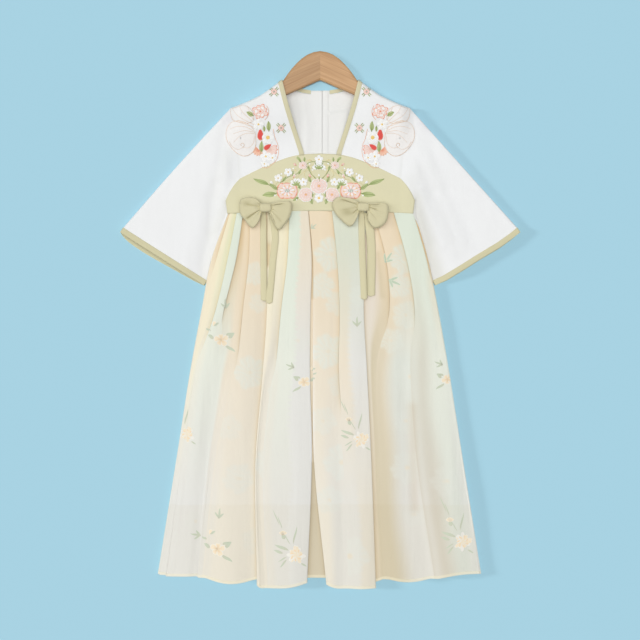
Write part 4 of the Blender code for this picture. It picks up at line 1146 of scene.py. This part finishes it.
def bow_tail(name, node, middle, tail, below):
    steps = evenly(TAIL_ROWS)
    line = trace(np.array(tail.line) + middle, steps)
    sides = np.linspace(-1.0, 1.0, TAIL_COLUMNS)
    half = tail.width / 2 * (0.84 + 0.16 * smooth(steps / 0.2))
    x = line[:, :1] + half[:, None] * sides
    slant = TAIL_SLANT * (1.0 - np.abs(sides)) * smooth((steps[:, None] - 0.93) / 0.07)
    plan = np.stack([x, line[:, 1:] - slant], axis=-1)
    rest = np.array([max(below.height(a, y) for a in row) for row, y in zip(x, line[:, 1])])
    padded = np.pad(rest, REST_REACH, "edge")
    rest = np.array([padded[k:k + 2 * REST_REACH + 1].max() for k in range(len(rest))])
    even = np.ones(2 * REST_REACH + 1) / (2 * REST_REACH + 1)
    rest = np.convolve(np.pad(rest, REST_REACH, "edge"), even, "valid")[:, None]
    crown = 0.85 * (1.0 - np.abs(sides) ** 5)[None]
    crown = crown + 0.3 * np.sin(sides * 2.4 + 1.0)[None] * smooth(steps)[:, None]
    top = raised(plan, rest + TAIL_LIFT[1] + crown)
    grid = np.concatenate([top, raised(plan, rest + TAIL_LIFT[0])[:, ::-1]], axis=1)
    obj = cloth(name, grid, sash_cloth, [node], 0.0, ring=True)
    ends = bmesh.new()
    ends.from_mesh(obj.data)
    bmesh.ops.holes_fill(ends, edges=ends.edges)
    ends.to_mesh(obj.data)
    ends.free()
    declare(top)


# ---- embroidery and print ----

PETAL_ROWS = np.array([0.0, 0.12, 0.3, 0.5, 0.7, 0.84, 0.93, 1.0])[:, None]
PETAL_COLUMNS = np.array([-1.0, -0.88, -0.74, -0.4, 0.0, 0.4, 0.74, 0.88, 1.0])[None]
# Colours of a motif: at its root, over most of it, at its rim and at its centre.
SHADES = {
    "pink": ("thread_coral", "thread_blush", "thread_white", "thread_yellow"),
    "blush": ("thread_pink", "thread_white", "thread_blush", "thread_green"),
    "coral": ("thread_coral", "thread_blush", "thread_coral", "thread_grey"),
    "rose": ("thread_pink", "thread_blush", "thread_coral", "thread_coral"),
    "frill": ("thread_pink", "thread_white", "thread_peach", "thread_coral"),
    "white": ("thread_white", "thread_white", "thread_white", "thread_yellow"),
    "red": ("thread_red", "thread_red", "thread_coral", "thread_red"),
    "peach": ("thread_coral", "thread_peach", "thread_peach", "thread_coral"),
    "green": ("thread_olive", "thread_green", "thread_green", "thread_white"),
    "straw": ("thread_straw", "thread_straw", "thread_straw", "thread_straw"),
    "ink": ("ink_petal", "ink_petal", "ink_white", "ink_core"),
    "ink_pale": ("ink_petal", "ink_white", "ink_white", "ink_core"),
    "ink_core": ("ink_core", "ink_core", "ink_petal", "ink_core"),
    "ink_green": ("ink_stem", "ink_leaf", "ink_leaf", "ink_leaf"),
    "dusk_green": ("leaf", "leaf", "blossom", "leaf"),
}


class Stitching:
    """Collects flat motifs seen from above, in millimetres, and lays them on cloth as one mesh.

    Every motif of the tables is a method of the same name, which takes its middle, size, shade and turn.
    """

    def __init__(self, crown=0.5, lift=0.12):
        self.crown = crown
        self.lift = lift
        self.parts = []
        self.faces = []
        self.count = 0

    def patch(self, plan, rise, colours, stitch):
        rows, columns = rise.shape
        self.faces += grid_faces(rows, columns, first=self.count)
        self.count += rows * columns
        colours = np.broadcast_to(colours, (rows, columns, 3))
        self.parts.append(np.concatenate([plan, rise[..., None], colours, stitch], axis=-1).reshape(-1, 8))

    def petal(self, root, angle, length, width, shade, level=0.0, swell=1.5, round_tip=0.55, bend=0.0):
        """One petal or leaf that grows from its root in a direction, in radians."""
        s = PETAL_ROWS
        t = PETAL_COLUMNS
        half = width / 2 * np.sin(np.pi * np.clip(s ** swell, 0.0, 1.0)) ** round_tip + 0.04 * width * (1 - s)
        ahead, aside = unit(angle), unit(angle + np.pi / 2)
        side = half * t + bend * length * np.sin(np.pi * s / 2) ** 2
        reach = length * s + 0.0 * t
        plan = np.asarray(root) + reach[..., None] * ahead + side[..., None] * aside
        rise = self.lift + level + self.crown * (1 - t ** 2) * np.sin(np.pi * np.clip(s, 0.08, 0.9)) ** 0.5
        base, body, rim = (linear(name) for name in SHADES[shade][:3])
        edge = np.maximum(smooth((np.abs(t) - 0.74) / 0.14), smooth((s - 0.84) / 0.09))
        colours = blend(blend(base, body, smooth(s * 1.6 + 0 * t)), rim, edge)
        self.patch(plan, rise, colours, np.stack([half * t, reach], axis=-1) * MM)

    def disc(self, centre, radius, name, level=0.0, squash=1.0):
        turns = np.linspace(0.0, 2 * np.pi, 13)[None]
        rings = np.array([0.02, 0.5, 0.85, 1.0])[:, None]
        plan = np.asarray(centre) + radius * rings[..., None] * unit(turns) * (1.0, squash)
        rise = self.lift + level + self.crown * np.sqrt(np.maximum(0.0, 1 - rings ** 2)) + 0 * turns
        self.patch(plan, rise, linear(name), plan * MM)

    def cord(self, line, width, name, level=0.0, steps=None, taper=0.0):
        line = np.asarray(line, float)
        count = steps or max(6, int(np.linalg.norm(np.diff(line, axis=0), axis=1).sum() / 1.6))
        at = evenly(count)
        points = trace(line, at)
        ahead = np.gradient(points, axis=0)
        ahead /= np.maximum(np.linalg.norm(ahead, axis=1, keepdims=True), 1e-9)
        aside = np.stack([-ahead[:, 1], ahead[:, 0]], axis=-1)
        t = np.linspace(-1.0, 1.0, 5)[None, :, None]
        half = width / 2 * (1 - taper * at)[:, None, None]
        plan = points[:, None] + half * t * aside[:, None]
        rise = self.lift + level + self.crown * (1 - t[..., 0] ** 2) + 0 * at[:, None]
        stitch = np.stack(np.broadcast_arrays(at[:, None] * 0.05, t[..., 0] * 0.001), axis=-1)
        self.patch(plan, rise, linear(name), stitch)

    def flower(self, centre, radius, count, shade, turn=0.0, squash=1.0, fill=1.1, core=0.26, level=0.0,
               ruffle=0.0):
        """Open flower: petals round a centre, with every other one shorter by the ruffle's share."""
        width = fill * 1.5 * radius * np.sin(np.pi / count)
        for k in range(count):
            across, up = unit(turn + 2 * np.pi * k / count) * (1.0, squash)
            length = radius * np.hypot(across, up) * (1.0 - ruffle * (k % 2))
            self.petal(centre, np.arctan2(up, across), length, width, shade, level + 0.06 * (k % 2))
        if core:
            self.disc(centre, core * radius, SHADES[shade][3], level + 0.3, squash)

    def rose(self, centre, radius, shade, turn):
        """Full flower of three rings of petals, each laid over the last."""
        self.flower(centre, radius, 6, shade, turn, 0.92, 1.3, 0.0)
        self.flower(centre, 0.68 * radius, 5, shade, turn + 0.5, 0.92, 1.25, 0.0, 0.35)
        self.flower(centre, 0.38 * radius, 4, shade, turn + 1.1, 0.92, 1.15, 0.26, 0.7)

    def ruffled(self, centre, radius, shade, turn):
        """Full flower with uneven pale petals, edged in coral."""
        self.flower(centre, radius, 8, shade, turn, 0.94, 0.92, 0.0, 0.0, 0.16)
        self.flower(centre, 0.72 * radius, 6, "frill", turn + 0.4, 0.94, 0.9, 0.0, 0.35, 0.2)
        self.flower(centre, 0.44 * radius, 5, shade, turn + 1.0, 0.94, 0.9, 0.0, 0.7, 0.15)
        self.disc(centre, 0.1 * radius, "thread_coral", 1.0)

    def poppy(self, centre, radius, shade, turn, squash=0.72):
        """Wide flower with ruffled petals, fine strokes from its centre and a ring of stamens."""
        self.flower(centre, radius, 6, shade, turn, squash, 1.35, 0.0)
        self.flower(centre, 0.7 * radius, 9, "blush", turn + 0.3, squash, 0.5, 0.0, 0.25)
        self.dots(centre, 0.62 * radius, 9, 0.055 * radius, "thread_yellow", turn, squash)
        self.disc(centre, 0.24 * radius, "thread_grey", 0.45, squash)
        self.dots(centre, 0.12 * radius, 4, 0.05 * radius, "thread_white", turn, squash, 0.8)

    def daisy(self, centre, radius, shade, turn):
        self.flower(centre, radius, 6, shade, turn, 1.0, 1.05, 0.3, 0.3)

    def blossom(self, centre, radius, shade, turn):
        self.flower(centre, radius, 5, shade, turn, 1.0, 0.86, 0.18, 0.3)

    def spread(self, centre, radius, facing, reach, count, shade, level=0.0):
        """Petals spread to either side of a direction."""
        for angle in np.linspace(facing - reach, facing + reach, count):
            self.petal(centre, angle, radius, 2.2 * radius * reach / count, shade, level)

    def fan(self, centre, radius, shade, turn):
        """Flower seen from its side."""
        self.spread(centre, radius, turn, 1.35, 7, shade)

    def crest(self, centre, radius, shade, turn):
        """Sprig of white and green petals with three white buds."""
        self.spread(centre, 1.2 * radius, turn, 1.2, 5, "white")
        self.spread(centre, 0.85 * radius, turn, 1.1, 5, shade, 0.2)
        for part in (-0.7, 0.0, 0.7):
            self.disc(centre + 0.6 * radius * unit(turn + part), 0.12 * radius, "thread_white", 0.6)

    def bud(self, centre, length, shade, turn):
        self.petal(centre, turn, length, 0.55 * length, shade, 0.3)

    def berry(self, centre, radius, shade, turn):
        self.disc(centre, radius, SHADES[shade][1])

    def leaf(self, root, tip, width, shade="green", bend=0.12, level=-0.05, rib=""):
        run = np.subtract(tip, root)
        length = np.hypot(*run)
        angle = np.arctan2(run[1], run[0])
        self.petal(root, angle, length, width, shade, level, 0.85, 0.9, bend)
        if rib:
            aside = unit(angle + np.pi / 2)
            line = [root + length * (s * unit(angle) + bend * np.sin(np.pi * s / 2) ** 2 * aside)
                    for s in (-0.08, 0.3, 0.6, 0.92)]
            self.cord(line, 0.16 * width, rib, level + 0.25, 10)

    def dots(self, centre, radius, count, size, name, turn=0.0, squash=1.0, level=0.5):
        for k in range(count):
            at = centre + radius * unit(turn + 2 * np.pi * k / count) * (1.0, squash)
            self.disc(at, size, name, level)

    def finish(self, name, surface, material):
        """Lays everything on the surface, without what hangs over its edge."""
        parts = np.concatenate(self.parts)
        points = surface.lay(parts[:, :2], parts[:, 2])
        faces = np.array(self.faces)
        faces = faces[~np.isnan(points[faces, 2]).any(axis=1)]
        used, faces = np.unique(faces, return_inverse=True)
        faces = faces.reshape(-1, 4)
        obj = piece(name, points[used], faces.tolist(), material, colours=parts[used, 3:6])
        uv = obj.data.uv_layers.new(name="stitch")
        corners = np.array([loop.vertex_index for loop in obj.data.loops])
        uv.data.foreach_set("uv", parts[used, 6:][corners].astype(np.float32).ravel())


# Motifs on one half of the chest band; each is mirrored about BIB_MIDDLE. Turns and bends are in radians
# and shares, as the functions of Stitching take them.
BIB_MIDDLE = -2
Motif = namedtuple("Motif", "kind x y size turn shade", defaults=(0.0, "white"))
BIB = [Motif(*row) for row in (
    ("rose", 0, 201, 13.5, 0.3, "pink"), ("rose", 19.5, 188, 12, 0.9, "pink"),
    ("berry", 0, 217.6, 1.6, 0.3), ("daisy", 0, 183, 7.2, 0.3), ("poppy", 47.5, 194, 17, 0.5, "coral"),
    ("blossom", 23, 207, 6.4, 0.2), ("blossom", 61, 213, 6.2, 0.5), ("blossom", 46, 222, 6.6, 0.9),
    ("blossom", 0, 241, 6.8, 0.31), ("rose", 24, 232, 6.6, 0.7, "pink"), ("bud", 38, 213, 6.6, 1.9, "pink"),
    ("bud", 12.4, 213.6, 6, 1.2, "coral"), ("bud", 33.6, 231.5, 5.6, 0.7, "coral"),
    ("bud", 10.6, 238.5, 5.2, 0.4, "straw"), ("bud", 68.6, 204.6, 6, 0.7), ("berry", 14, 234.6, 1.3),
    ("berry", 16.5, 239.6, 1.3, 0, "straw"), ("berry", 35, 224.6, 1.4, 0, "straw"),
    ("berry", 38.4, 227.6, 1.3), ("berry", 52.6, 215.4, 1.4, 0, "straw"), ("berry", 56.2, 219.4, 1.4),
    ("berry", 32.4, 200, 1.4, 0, "straw"), ("berry", 33.4, 180.6, 1.4), ("berry", 9.4, 225.6, 1.4),
    ("berry", 12.6, 228.4, 1.2, 0, "straw"), ("berry", 66, 187, 1.4), ("crest", 0, 226.6, 9, 1.57, "green"),
    ("crest", 33.4, 202, 9.4, 1.3, "green"), ("bud", 28.6, 239.6, 7, 0.9, "green"),
)]
# Leaves: root, tip, width and bend.
BIB_LEAVES = (
    ((1, 208), (0.2, 215), 5, 0), ((10, 192), (8.6, 184), 5, 0.1), ((12, 182), (9, 174), 5.6, 0.1),
    ((28, 197), (34, 207), 5.6, 0.1), ((12, 207), (17, 215), 4.8, 0.15), ((31, 184), (38, 178), 5.2, 0.1),
    ((62, 196), (75, 203), 6, 0.12), ((75, 203), (97, 215), 6.6, -0.12), ((64, 190), (84, 184), 8.4, 0.14),
    ((30, 219), (28, 226), 4, 0.1), ((40, 218), (38, 224), 3.8, -0.1), ((54, 208), (50, 216), 4.2, 0.1),
    ((6, 236), (3, 231), 3.6, 0.1), ((16, 231), (13, 223), 4, 0.1), ((3.4, 226), (6.4, 232), 4.2, 0.1),
    ((27, 237), (32, 243.5), 4, 0.15), ((22, 238), (20.6, 244.5), 3.6, -0.1),
)
# Thin stems that tie the spray together, and fine scrolls beside them.
BIB_STEMS = (
    ((5, 238), (14, 236.6), (24, 228), (34, 219), (46, 214.6), (58, 206)),
    ((4, 212), (12, 220), (16, 228), (20, 232)), ((58, 199), (68, 199), (76, 203.6)),
)
BIB_SCROLLS = (
    ((6, 233.4), (14, 231.4), (22, 223), (32, 214.6), (44, 210.4), (54, 204)),
    ((3, 209), (9.4, 216.4), (13, 224), (20, 223), (22, 217), (18.6, 213.8)),
    ((56, 209), (62, 206), (66.4, 200.4), (64, 196.6)), ((30, 204), (36, 207), (40, 211)),
)
# Motifs on the shoulder at +X, mirrored on the other one.
SHOULDER = [Motif(*row) for row in (
    ("ruffled", 89.4, 311.4, 13, 0.4, "rose"), ("blossom", 92.2, 292.4, 8.8, 0.5),
    ("fan", 76.6, 256.4, 13, -2.2, "rose"), ("fan", 92.6, 256, 10, -0.9, "peach"),
    ("daisy", 78.4, 273.4, 10.4, 0.1), ("bud", 89.6, 286, 17, -1.6, "red"),
    ("bud", 73.6, 263.4, 13, -0.6, "red"), ("blossom", 81.6, 245.6, 8.8, 0.1),
    ("blossom", 71.6, 243.6, 7, 0.8), ("blossom", 83.6, 234.4, 5.6, 0.2), ("berry", 77.6, 233.6, 2.2),
    ("berry", 101.4, 296.8, 2.8), ("berry", 97.6, 283.6, 2.4),
)]
SHOULDER_LEAVES = (
    ((76.6, 283), (79, 297.4), 6.6, 0.1), ((89, 251), (85.6, 268.6), 6.6, -0.1),
    ((84, 290), (82.6, 281.6), 4, 0.1),
)
SHOULDER_OUTLINES = (
    ((70.4, 286), (67.6, 273), (63.4, 262), (62.6, 251), (66, 240), (73, 233), (79, 228.6), (87.6, 229.6)),
    ((80, 320), (77, 313), (78, 305), (83, 299)),
)
CROSS_FLOWERS = ((69, 341), (58.5, 287.5))
# Veins of the organza petals, from where they gather.
VEINS = (
    ((100, 283), (110, 288), (128, 288.4), (135, 286)), ((99, 281), (112, 283), (130, 278.6)),
    ((98.6, 279), (110, 279), (120, 275), (129.6, 266)),
    ((98.4, 275), (100.6, 264), (108, 258), (116, 258.6)),
    ((136, 267), (131, 259.6), (123, 255.6), (117, 258)), ((99, 292), (112, 298), (124, 306), (131.6, 317)),
    ((99.4, 295), (108, 302.6), (117, 312), (121, 320)), ((100, 299), (104, 308), (108.6, 320)),
    ((98.6, 288), (112, 292.4), (126, 296.6)),
)
PETAL_LEAVES = (((99.6, 305), (110.6, 309.4), 6.8, 0.1),)
CURL = ((117, 258.4), (113.4, 261.6), (115.6, 265), (119, 263), (117.4, 260.6))


def embroider(work, motifs, leaves, side, middle=0.0):
    """Stitches a table of motifs, as it is for side 1 and mirrored about the middle for side -1."""
    def seen(point):
        return np.array([middle + side * point[0], point[1]])

    for root, tip, width, bend in leaves:
        work.leaf(seen(root), seen(tip), width, bend=side * bend, rib="thread_olive")
    for motif in motifs:
        turn = motif.turn if side > 0 else np.pi - motif.turn
        getattr(work, motif.kind)(seen((motif.x, motif.y)), motif.size, motif.shade, turn)


def bib_embroidery(surface):
    work = Stitching()
    for side in (-1, 1):
        for lines, width, name in ((BIB_STEMS, 0.9, "thread_olive"), (BIB_SCROLLS, 0.8, "thread_straw")):
            for line in lines:
                work.cord(mirrored(line, side) + (BIB_MIDDLE, 0.0), width, name, -0.05)
        halves = [motif for motif in BIB if motif.x > 0 or side > 0]
        leaves = [leaf for leaf in BIB_LEAVES if leaf[0][0] > 3 or side > 0]
        embroider(work, halves, leaves, side, BIB_MIDDLE)
    work.finish("bib_embroidery", surface, thread)


def cross_flower(work, centre):
    """Small flower in a cross of green strokes."""
    for k in range(4):
        angle = np.pi / 4 + k * np.pi / 2
        for part in (-0.28, 0.28):
            line = [centre + 4.2 * unit(angle + part), centre + 8.6 * unit(angle + part * 0.6)]
            work.cord(line, 1.4, "thread_green")
    work.flower(centre, 4.6, 5, "coral", 0.3, 1.0, 1.1, 0.3)


def shoulder_embroidery(side, name, surface):
    work = Stitching()
    for outline in SHOULDER_OUTLINES:
        work.cord(mirrored(outline, side), 0.8, "thread_peach")
    embroider(work, SHOULDER, SHOULDER_LEAVES, side)
    for centre in CROSS_FLOWERS:
        cross_flower(work, mirrored(centre, side))
    work.finish(f"shoulder_embroidery_{name}", surface, thread)


# Outline of each organza petal on the side at +X, and its middle.
PETALS = (
    (
        "upper", (117, 309),
        (
            (134.2, 317.4), (126, 317.6), (115, 320.4), (105, 316), (100, 307), (100, 298), (108, 294),
            (120, 295.6), (129.6, 298.6), (133.6, 308),
        ),
    ),
    (
        "lower", (119, 272),
        (
            (122, 298), (134, 295), (140.6, 283), (140, 271), (134, 260), (125, 250.6), (113, 246),
            (103, 250), (97, 260), (96.6, 272), (99, 284), (108, 293),
        ),
    ),
)
# How far the petals lie above the cloth, and how they swell from their middle to their rim.
PETAL_LIFT = 1.9
PETAL_RINGS = ((0.04, 0.6), (0.2, 0.6), (0.4, 0.5), (0.6, 0.3), (0.8, 0), (1, -0.5))


def organza_petals(side, name):
    """Sheer petals over the armhole; petal_cords lays their corded rims and veins."""
    made = []
    shares_out, swell = np.transpose(PETAL_RINGS)
    for part, middle, outline in PETALS:
        rim = trace(outline + outline[:1], np.linspace(0.0, 1.0, 49)[:-1])
        rings = [np.array(middle) + share * (rim - middle) for share in shares_out]
        grid = with_height(mirrored(np.stack(rings), side))
        grid[..., 2] += PETAL_LIFT + swell[:, None]
        petal = cloth(f"organza_{name}_{part}", grid, organza, [f"petal_{name}_{part}"], 0.0, True)
        across, up = np.ptp(rim, axis=0)
        declare(grid, ring=True, width=across, length=up)
        made.append(petal)
    return made


def petal_cords(side, name, surface):
    work = Stitching(0.18, 0.15)
    cords = [(outline + outline[:1], 0.75, 0.0) for _, _, outline in PETALS]
    cords += [(vein, 0.6, 0.4) for vein in VEINS] + [(CURL, 0.8, 0.0)]
    for line, width, taper in cords:
        work.cord(mirrored(line, side), width, "thread_rim", taper=taper)
    embroider(work, (), PETAL_LEAVES, side)
    work.finish(f"petal_cords_{name}", surface, thread)


# Printed sprays on the skirt: kind, place, size, turn and which way the leaves fan, 1 to the right and -1 to
# the left.
Spray = namedtuple("Spray", "kind x y size turn way")
SPRAYS = [Spray(*row) for row in (
    ("open", -148, -29, 11, 0.4, 1), ("mum", -199, -170, 12, 1.2, -1), ("open", -153, -341, 11.5, 0.2, 1),
    ("leaves", -180, -321, 9, 2.6, -1), ("leaves", -151, -294, 9, 1.1, 1), ("open", -24, -92, 9, 0.8, -1),
    ("leaves", -40, -70, 8, 2.4, -1), ("mum", -36, -350, 14, 1.6, -1), ("mum", 61, -178, 13, 0.5, -1),
    ("leaves", 55, -8, 9, 1.2, -1), ("open", 190, -88, 9, 0.9, -1), ("leaves", 182, -66, 8, 2.4, -1),
    ("mum", 213, -330, 14, 0.1, -1), ("leaves", -141, 19, 9, 1.3, 1), ("leaves", -13, 138, 6, 0.3, 1),
    ("dusk", 98, 88, 11, 0.6, 1), ("dusk", 104, 60, 12, -0.8, 1),
)]
# Leaves and stems of a chrysanthemum spray, for way 1: root and tip from the flower's middle, width and bend,
# all in sizes.
BLADES = (
    ((0.8, 0.5), (2.2, 1.3), 0.32, -0.14), ((1.4, 0.2), (2.4, 0.4), 0.3, 0.1),
    ((1, -0.2), (2, -0.5), 0.14, -0.22), ((1, -0.5), (1.9, -1.1), 0.2, -0.26),
    ((0.3, 1.2), (0.3, 3.1), 0.18, 0.2), ((1.5, 2.8), (1.8, 4.2), 0.1, -0.12),
    ((1.8, 3.2), (2.3, 4.9), 0.1, -0.1), ((0.6, 1.1), (1.4, 2.2), 0.09, 0.08),
    ((1.2, 1.7), (1.5, 2.2), 0.4, 0), ((-0.5, -0.9), (-1.2, -1.1), 0.18, 0.2),
)
# Leaves of an open bloom, for way 1: direction in degrees, start and end in sizes, width and bend.
BLOOM_LEAVES = (
    (18, 1, 2, 0.6, 0.3), (42, 0.9, 1.7, 0.4, -0.3), (-52, 0.9, 2.5, 0.42, 0.3), (168, 1, 1.9, 0.5, -0.3),
    (140, 1.9, 2.6, 0.3, 0.2),
)


def skirt_print(surface):
    """Printed flowers like small chrysanthemums and open blooms, with their leaves."""
    work = Stitching(0.0, 0.2)

    def leaf(at, size, angle, start, end, width, bend, shade="ink_green"):
        ahead = size * unit(angle)
        work.leaf(at + start * ahead, at + end * ahead, width * size, shade, bend, 0.0)

    for kind, x, y, size, turn, way in SPRAYS:
        at = np.array([x, y])
        turned = np.array([size * way, size])
        if kind == "mum":
            for root, tip, width, bend in BLADES:
                work.leaf(at + turned * root, at + turned * tip, width * size, "ink_green", way * bend, 0.0)
            work.spread(at + turned * (1.4, 2.1), 0.55 * size, 1.57, 0.9, 5, "ink")
            for k in range(15):
                angle = turn + 2 * np.pi * k / 15 + 0.2 * np.sin(5.0 * k)
                reach = size * (0.88 + 0.2 * np.cos(2.3 * k))
                shade = ("ink", "ink_pale")[k % 2]
                work.petal(at, angle, reach, 0.4 * size, shade, 0.01 * (k % 3), 1.6, 0.6, 0.1)
            for k in range(7):
                angle = turn + 0.9 * k
                start = at + 0.3 * size * unit(angle)
                work.petal(start, angle + 0.4, 0.42 * size, 0.2 * size, "ink_core", 0.05, 1.4, 0.6, 0.2)
        elif kind == "open":
            for degrees, start, end, width, bend in BLOOM_LEAVES:
                angle = np.radians(degrees)
                leaf(at, size, angle if way > 0 else np.pi - angle, start, end, width, way * bend)
            for k in range(5):
                angle = turn + 2 * np.pi * k / 5
                reach = size * (0.95 + 0.12 * np.cos(3.1 * k))
                work.petal(at, angle, reach, 0.82 * size, "ink", 0.01 * k, 1.3)
                for part in (-0.24, 0.0, 0.24):
                    work.petal(at, angle + part, 0.66 * size, 0.1 * size, "ink_core", 0.07, 1.2, 0.8)
            bud = at + turned * (-1.1, 1.9)
            work.petal(bud, 1.2, 0.7 * size, 0.5 * size, "ink")
            leaf(bud, size, 0.3, 0.1, 0.9, 0.3, 0.2)
        else:
            shade = "dusk_green" if kind == "dusk" else "ink_green"
            for part, length in ((0.0, 1.5), (0.75, 1.1), (-0.8, 1.0)):
                leaf(at, size, turn + part, -0.2, length, 0.36, 0.3, shade)
    work.finish("chiffon_sprays", surface, chiffon)


# ---- the rest of the dress ----

def keep(node, material):
    """Gives a CAD node that stays in view a material of its own."""
    for slot in bpy.data.objects[node].material_slots:
        slot.material = material


# Suns: name, way that the light goes, energy, how wide it looks, whether it lights the floor or the rest,
# and whether the raised shoulders, the others or all of them throw its shadow.
Sun = namedtuple("Sun", "name way energy angle lights_floor shadow")
SUNS = [Sun(*row) for row in (
    ("top", (0.1, -0.1, -1), 1.9, 1.2, False, "all"), ("key", (1, -0.1, -0.6), 0.75, 0.5, False, "all"),
    ("fill", (-0.5, 0.2, -1), 0.6, 1.2, False, "all"), ("floor_top", (0, 0, -1), 2.05, 0.2, True, "all"),
    ("floor_low", (1, -0.05, -0.26), 1.55, 0.11, True, "low"),
    ("floor_high", (1, -0.05, -0.85), 0.6, 0.25, True, "high"),
)]
HIGH_PIECES = ("hanger", "crepe_front", "binding_front", "organza", "petal_cords", "shoulder_embroidery")
SKY = 0.15


def lights(ground):
    """Soft light on the dress, and light on the floor that leaves one even shadow to the right."""
    world = bpy.data.worlds.new("soft_room")
    bpy.context.scene.world = world
    world.use_nodes = True
    sky = world.node_tree.nodes["Background"]
    sky.inputs["Color"].default_value = (1.0, 1.0, 1.0, 1.0)
    sky.inputs["Strength"].default_value = SKY
    for sun in SUNS:
        data = bpy.data.lights.new(sun.name, "SUN")
        data.energy = sun.energy
        data.angle = sun.angle
        lamp = placed(sun.name, data)
        lamp.rotation_euler = Vector(sun.way).to_track_quat("-Z", "Y").to_euler()
        lit = bpy.data.collections.new(f"{sun.name}_lights")
        lit.objects.link(ground)
        lit.collection_objects[0].light_linking.link_state = "INCLUDE" if sun.lights_floor else "EXCLUDE"
        lamp.light_linking.receiver_collection = lit
        if sun.shadow != "all":
            throws = bpy.data.collections.new(f"{sun.name}_shadow")
            for obj in bpy.data.objects:
                if obj.name.startswith(HIGH_PIECES):
                    throws.objects.link(obj)
            for linked in throws.collection_objects:
                linked.light_linking.link_state = "INCLUDE" if sun.shadow == "high" else "EXCLUDE"
            lamp.light_linking.blocker_collection = throws
    bpy.context.scene.view_settings.view_transform = "Standard"


# The camera, straight above the dress: its lens and sensor in millimetres, and its place in metres.
LENS = 82.5
SENSOR = 36.0
CAMERA_PLACE = (-0.000375, 0.0006, 2.2)


def camera():
    data = bpy.data.cameras.new("photo")
    data.lens = LENS
    data.sensor_width = SENSOR
    seen = placed("photo", data)
    seen.location = CAMERA_PLACE
    bpy.context.scene.camera = seen


FLOOR_HALF = 30
FLOOR_COLOUR = (0.3755, 0.618, 0.730, 1.0)


def floor():
    material, _, shader = new_material("pale_floor", 0.95)
    shader.inputs["Base Color"].default_value = FLOOR_COLOUR
    shader.inputs["Specular IOR Level"].default_value = 0.0
    mesh = bpy.data.meshes.new("floor")
    corners = [(x * FLOOR_HALF, y * FLOOR_HALF, 0.0) for x, y in ((-1, -1), (1, -1), (1, 1), (-1, 1))]
    mesh.from_pydata(corners, [], [(0, 1, 2, 3)])
    mesh.materials.append(material)
    ground = placed("floor", mesh)
    return ground


crepe = cloth_material("crepe_white", None)
inside_crepe = cloth_material("crepe_inside", "inside")
band_cloth, binding_cloth, cuff_cloth, bow_cloth, sash_cloth = (
    cloth_material(f"{name}_sage", colour, bumps=SMOOTH) for name, colour in (
        ("crepe", "sage"), ("binding", "binding"), ("cuff", "cuff"), ("bow", "bow"), ("sash", "sash")))
# The bows' loops take their colour, painted shade included, from the mesh.
bow_with_painted_shade = cloth_material("bow_creased", None, bumps=SMOOTH)
lining_cloth = cloth_material("lining_white", "inside", bumps=(((26.0, 9.0, 9.0), 0.0016), GRAIN),
                              weave=(0.0006, 0.00006))
chiffon = cloth_material("chiffon_print", None, 0.7, (0.35, 0.5), (0.015, (14.0, 6.0, 6.0)),
                         (((60.0, 5.0, 5.0), 0.0012), ((420.0, 30.0, 30.0), 0.00018)), (0.0009, 0.00004))
thread = thread_material()
organza = cloth_material("organza_sheer", "organza", 0.45, (0.5, 0.3), (0.02, (60.0, 60.0, 60.0)),
                         (((160.0, 160.0, 160.0), 0.0006),), (0.0008, 0.00005))
wood = wood_material()

front = skirt_front()
skirt_back()
bodice_back()
band = band_front()
bodices = {}
sleeves = {}
for sign, word in ((-1, "left"), (1, "right")):
    bodices[word] = bodice_front(sign, word)
    sleeves[word] = sleeve(sign, word)
on_skirt = Surface([front])
on_band = Surface([band])
skirt_print(on_skirt)
for bow in BOWS:
    for word, loop in (("left", bow.left), ("right", bow.right)):
        bow_loop(f"{bow.name}_ribbon_{word}", f"{bow.name}_loop_{word}", bow.middle, loop)
    bow_knot(f"{bow.name}_wrap", f"{bow.name}_knot", bow.middle)
    bow_tail(f"{bow.name}_streamer_left", f"{bow.name}_tail_left", bow.middle, bow.left_tail, on_skirt)
    bow_tail(f"{bow.name}_streamer_right", f"{bow.name}_tail_right", bow.middle, bow.right_tail, on_skirt)
bib_embroidery(on_band)
for sign, word in ((-1, "left"), (1, "right")):
    cloths = [bodices[word], sleeves[word], band]
    shoulder_embroidery(sign, word, Surface(cloths))
    made = organza_petals(sign, word)
    petal_cords(sign, word, Surface(made + cloths))
    keep(f"neck_binding_back_{word}", binding_cloth)
keep("chest_band_back", band_cloth)
keep("skirt_lining", lining_cloth)
keep("hanger", wood)
lights(floor())
camera()
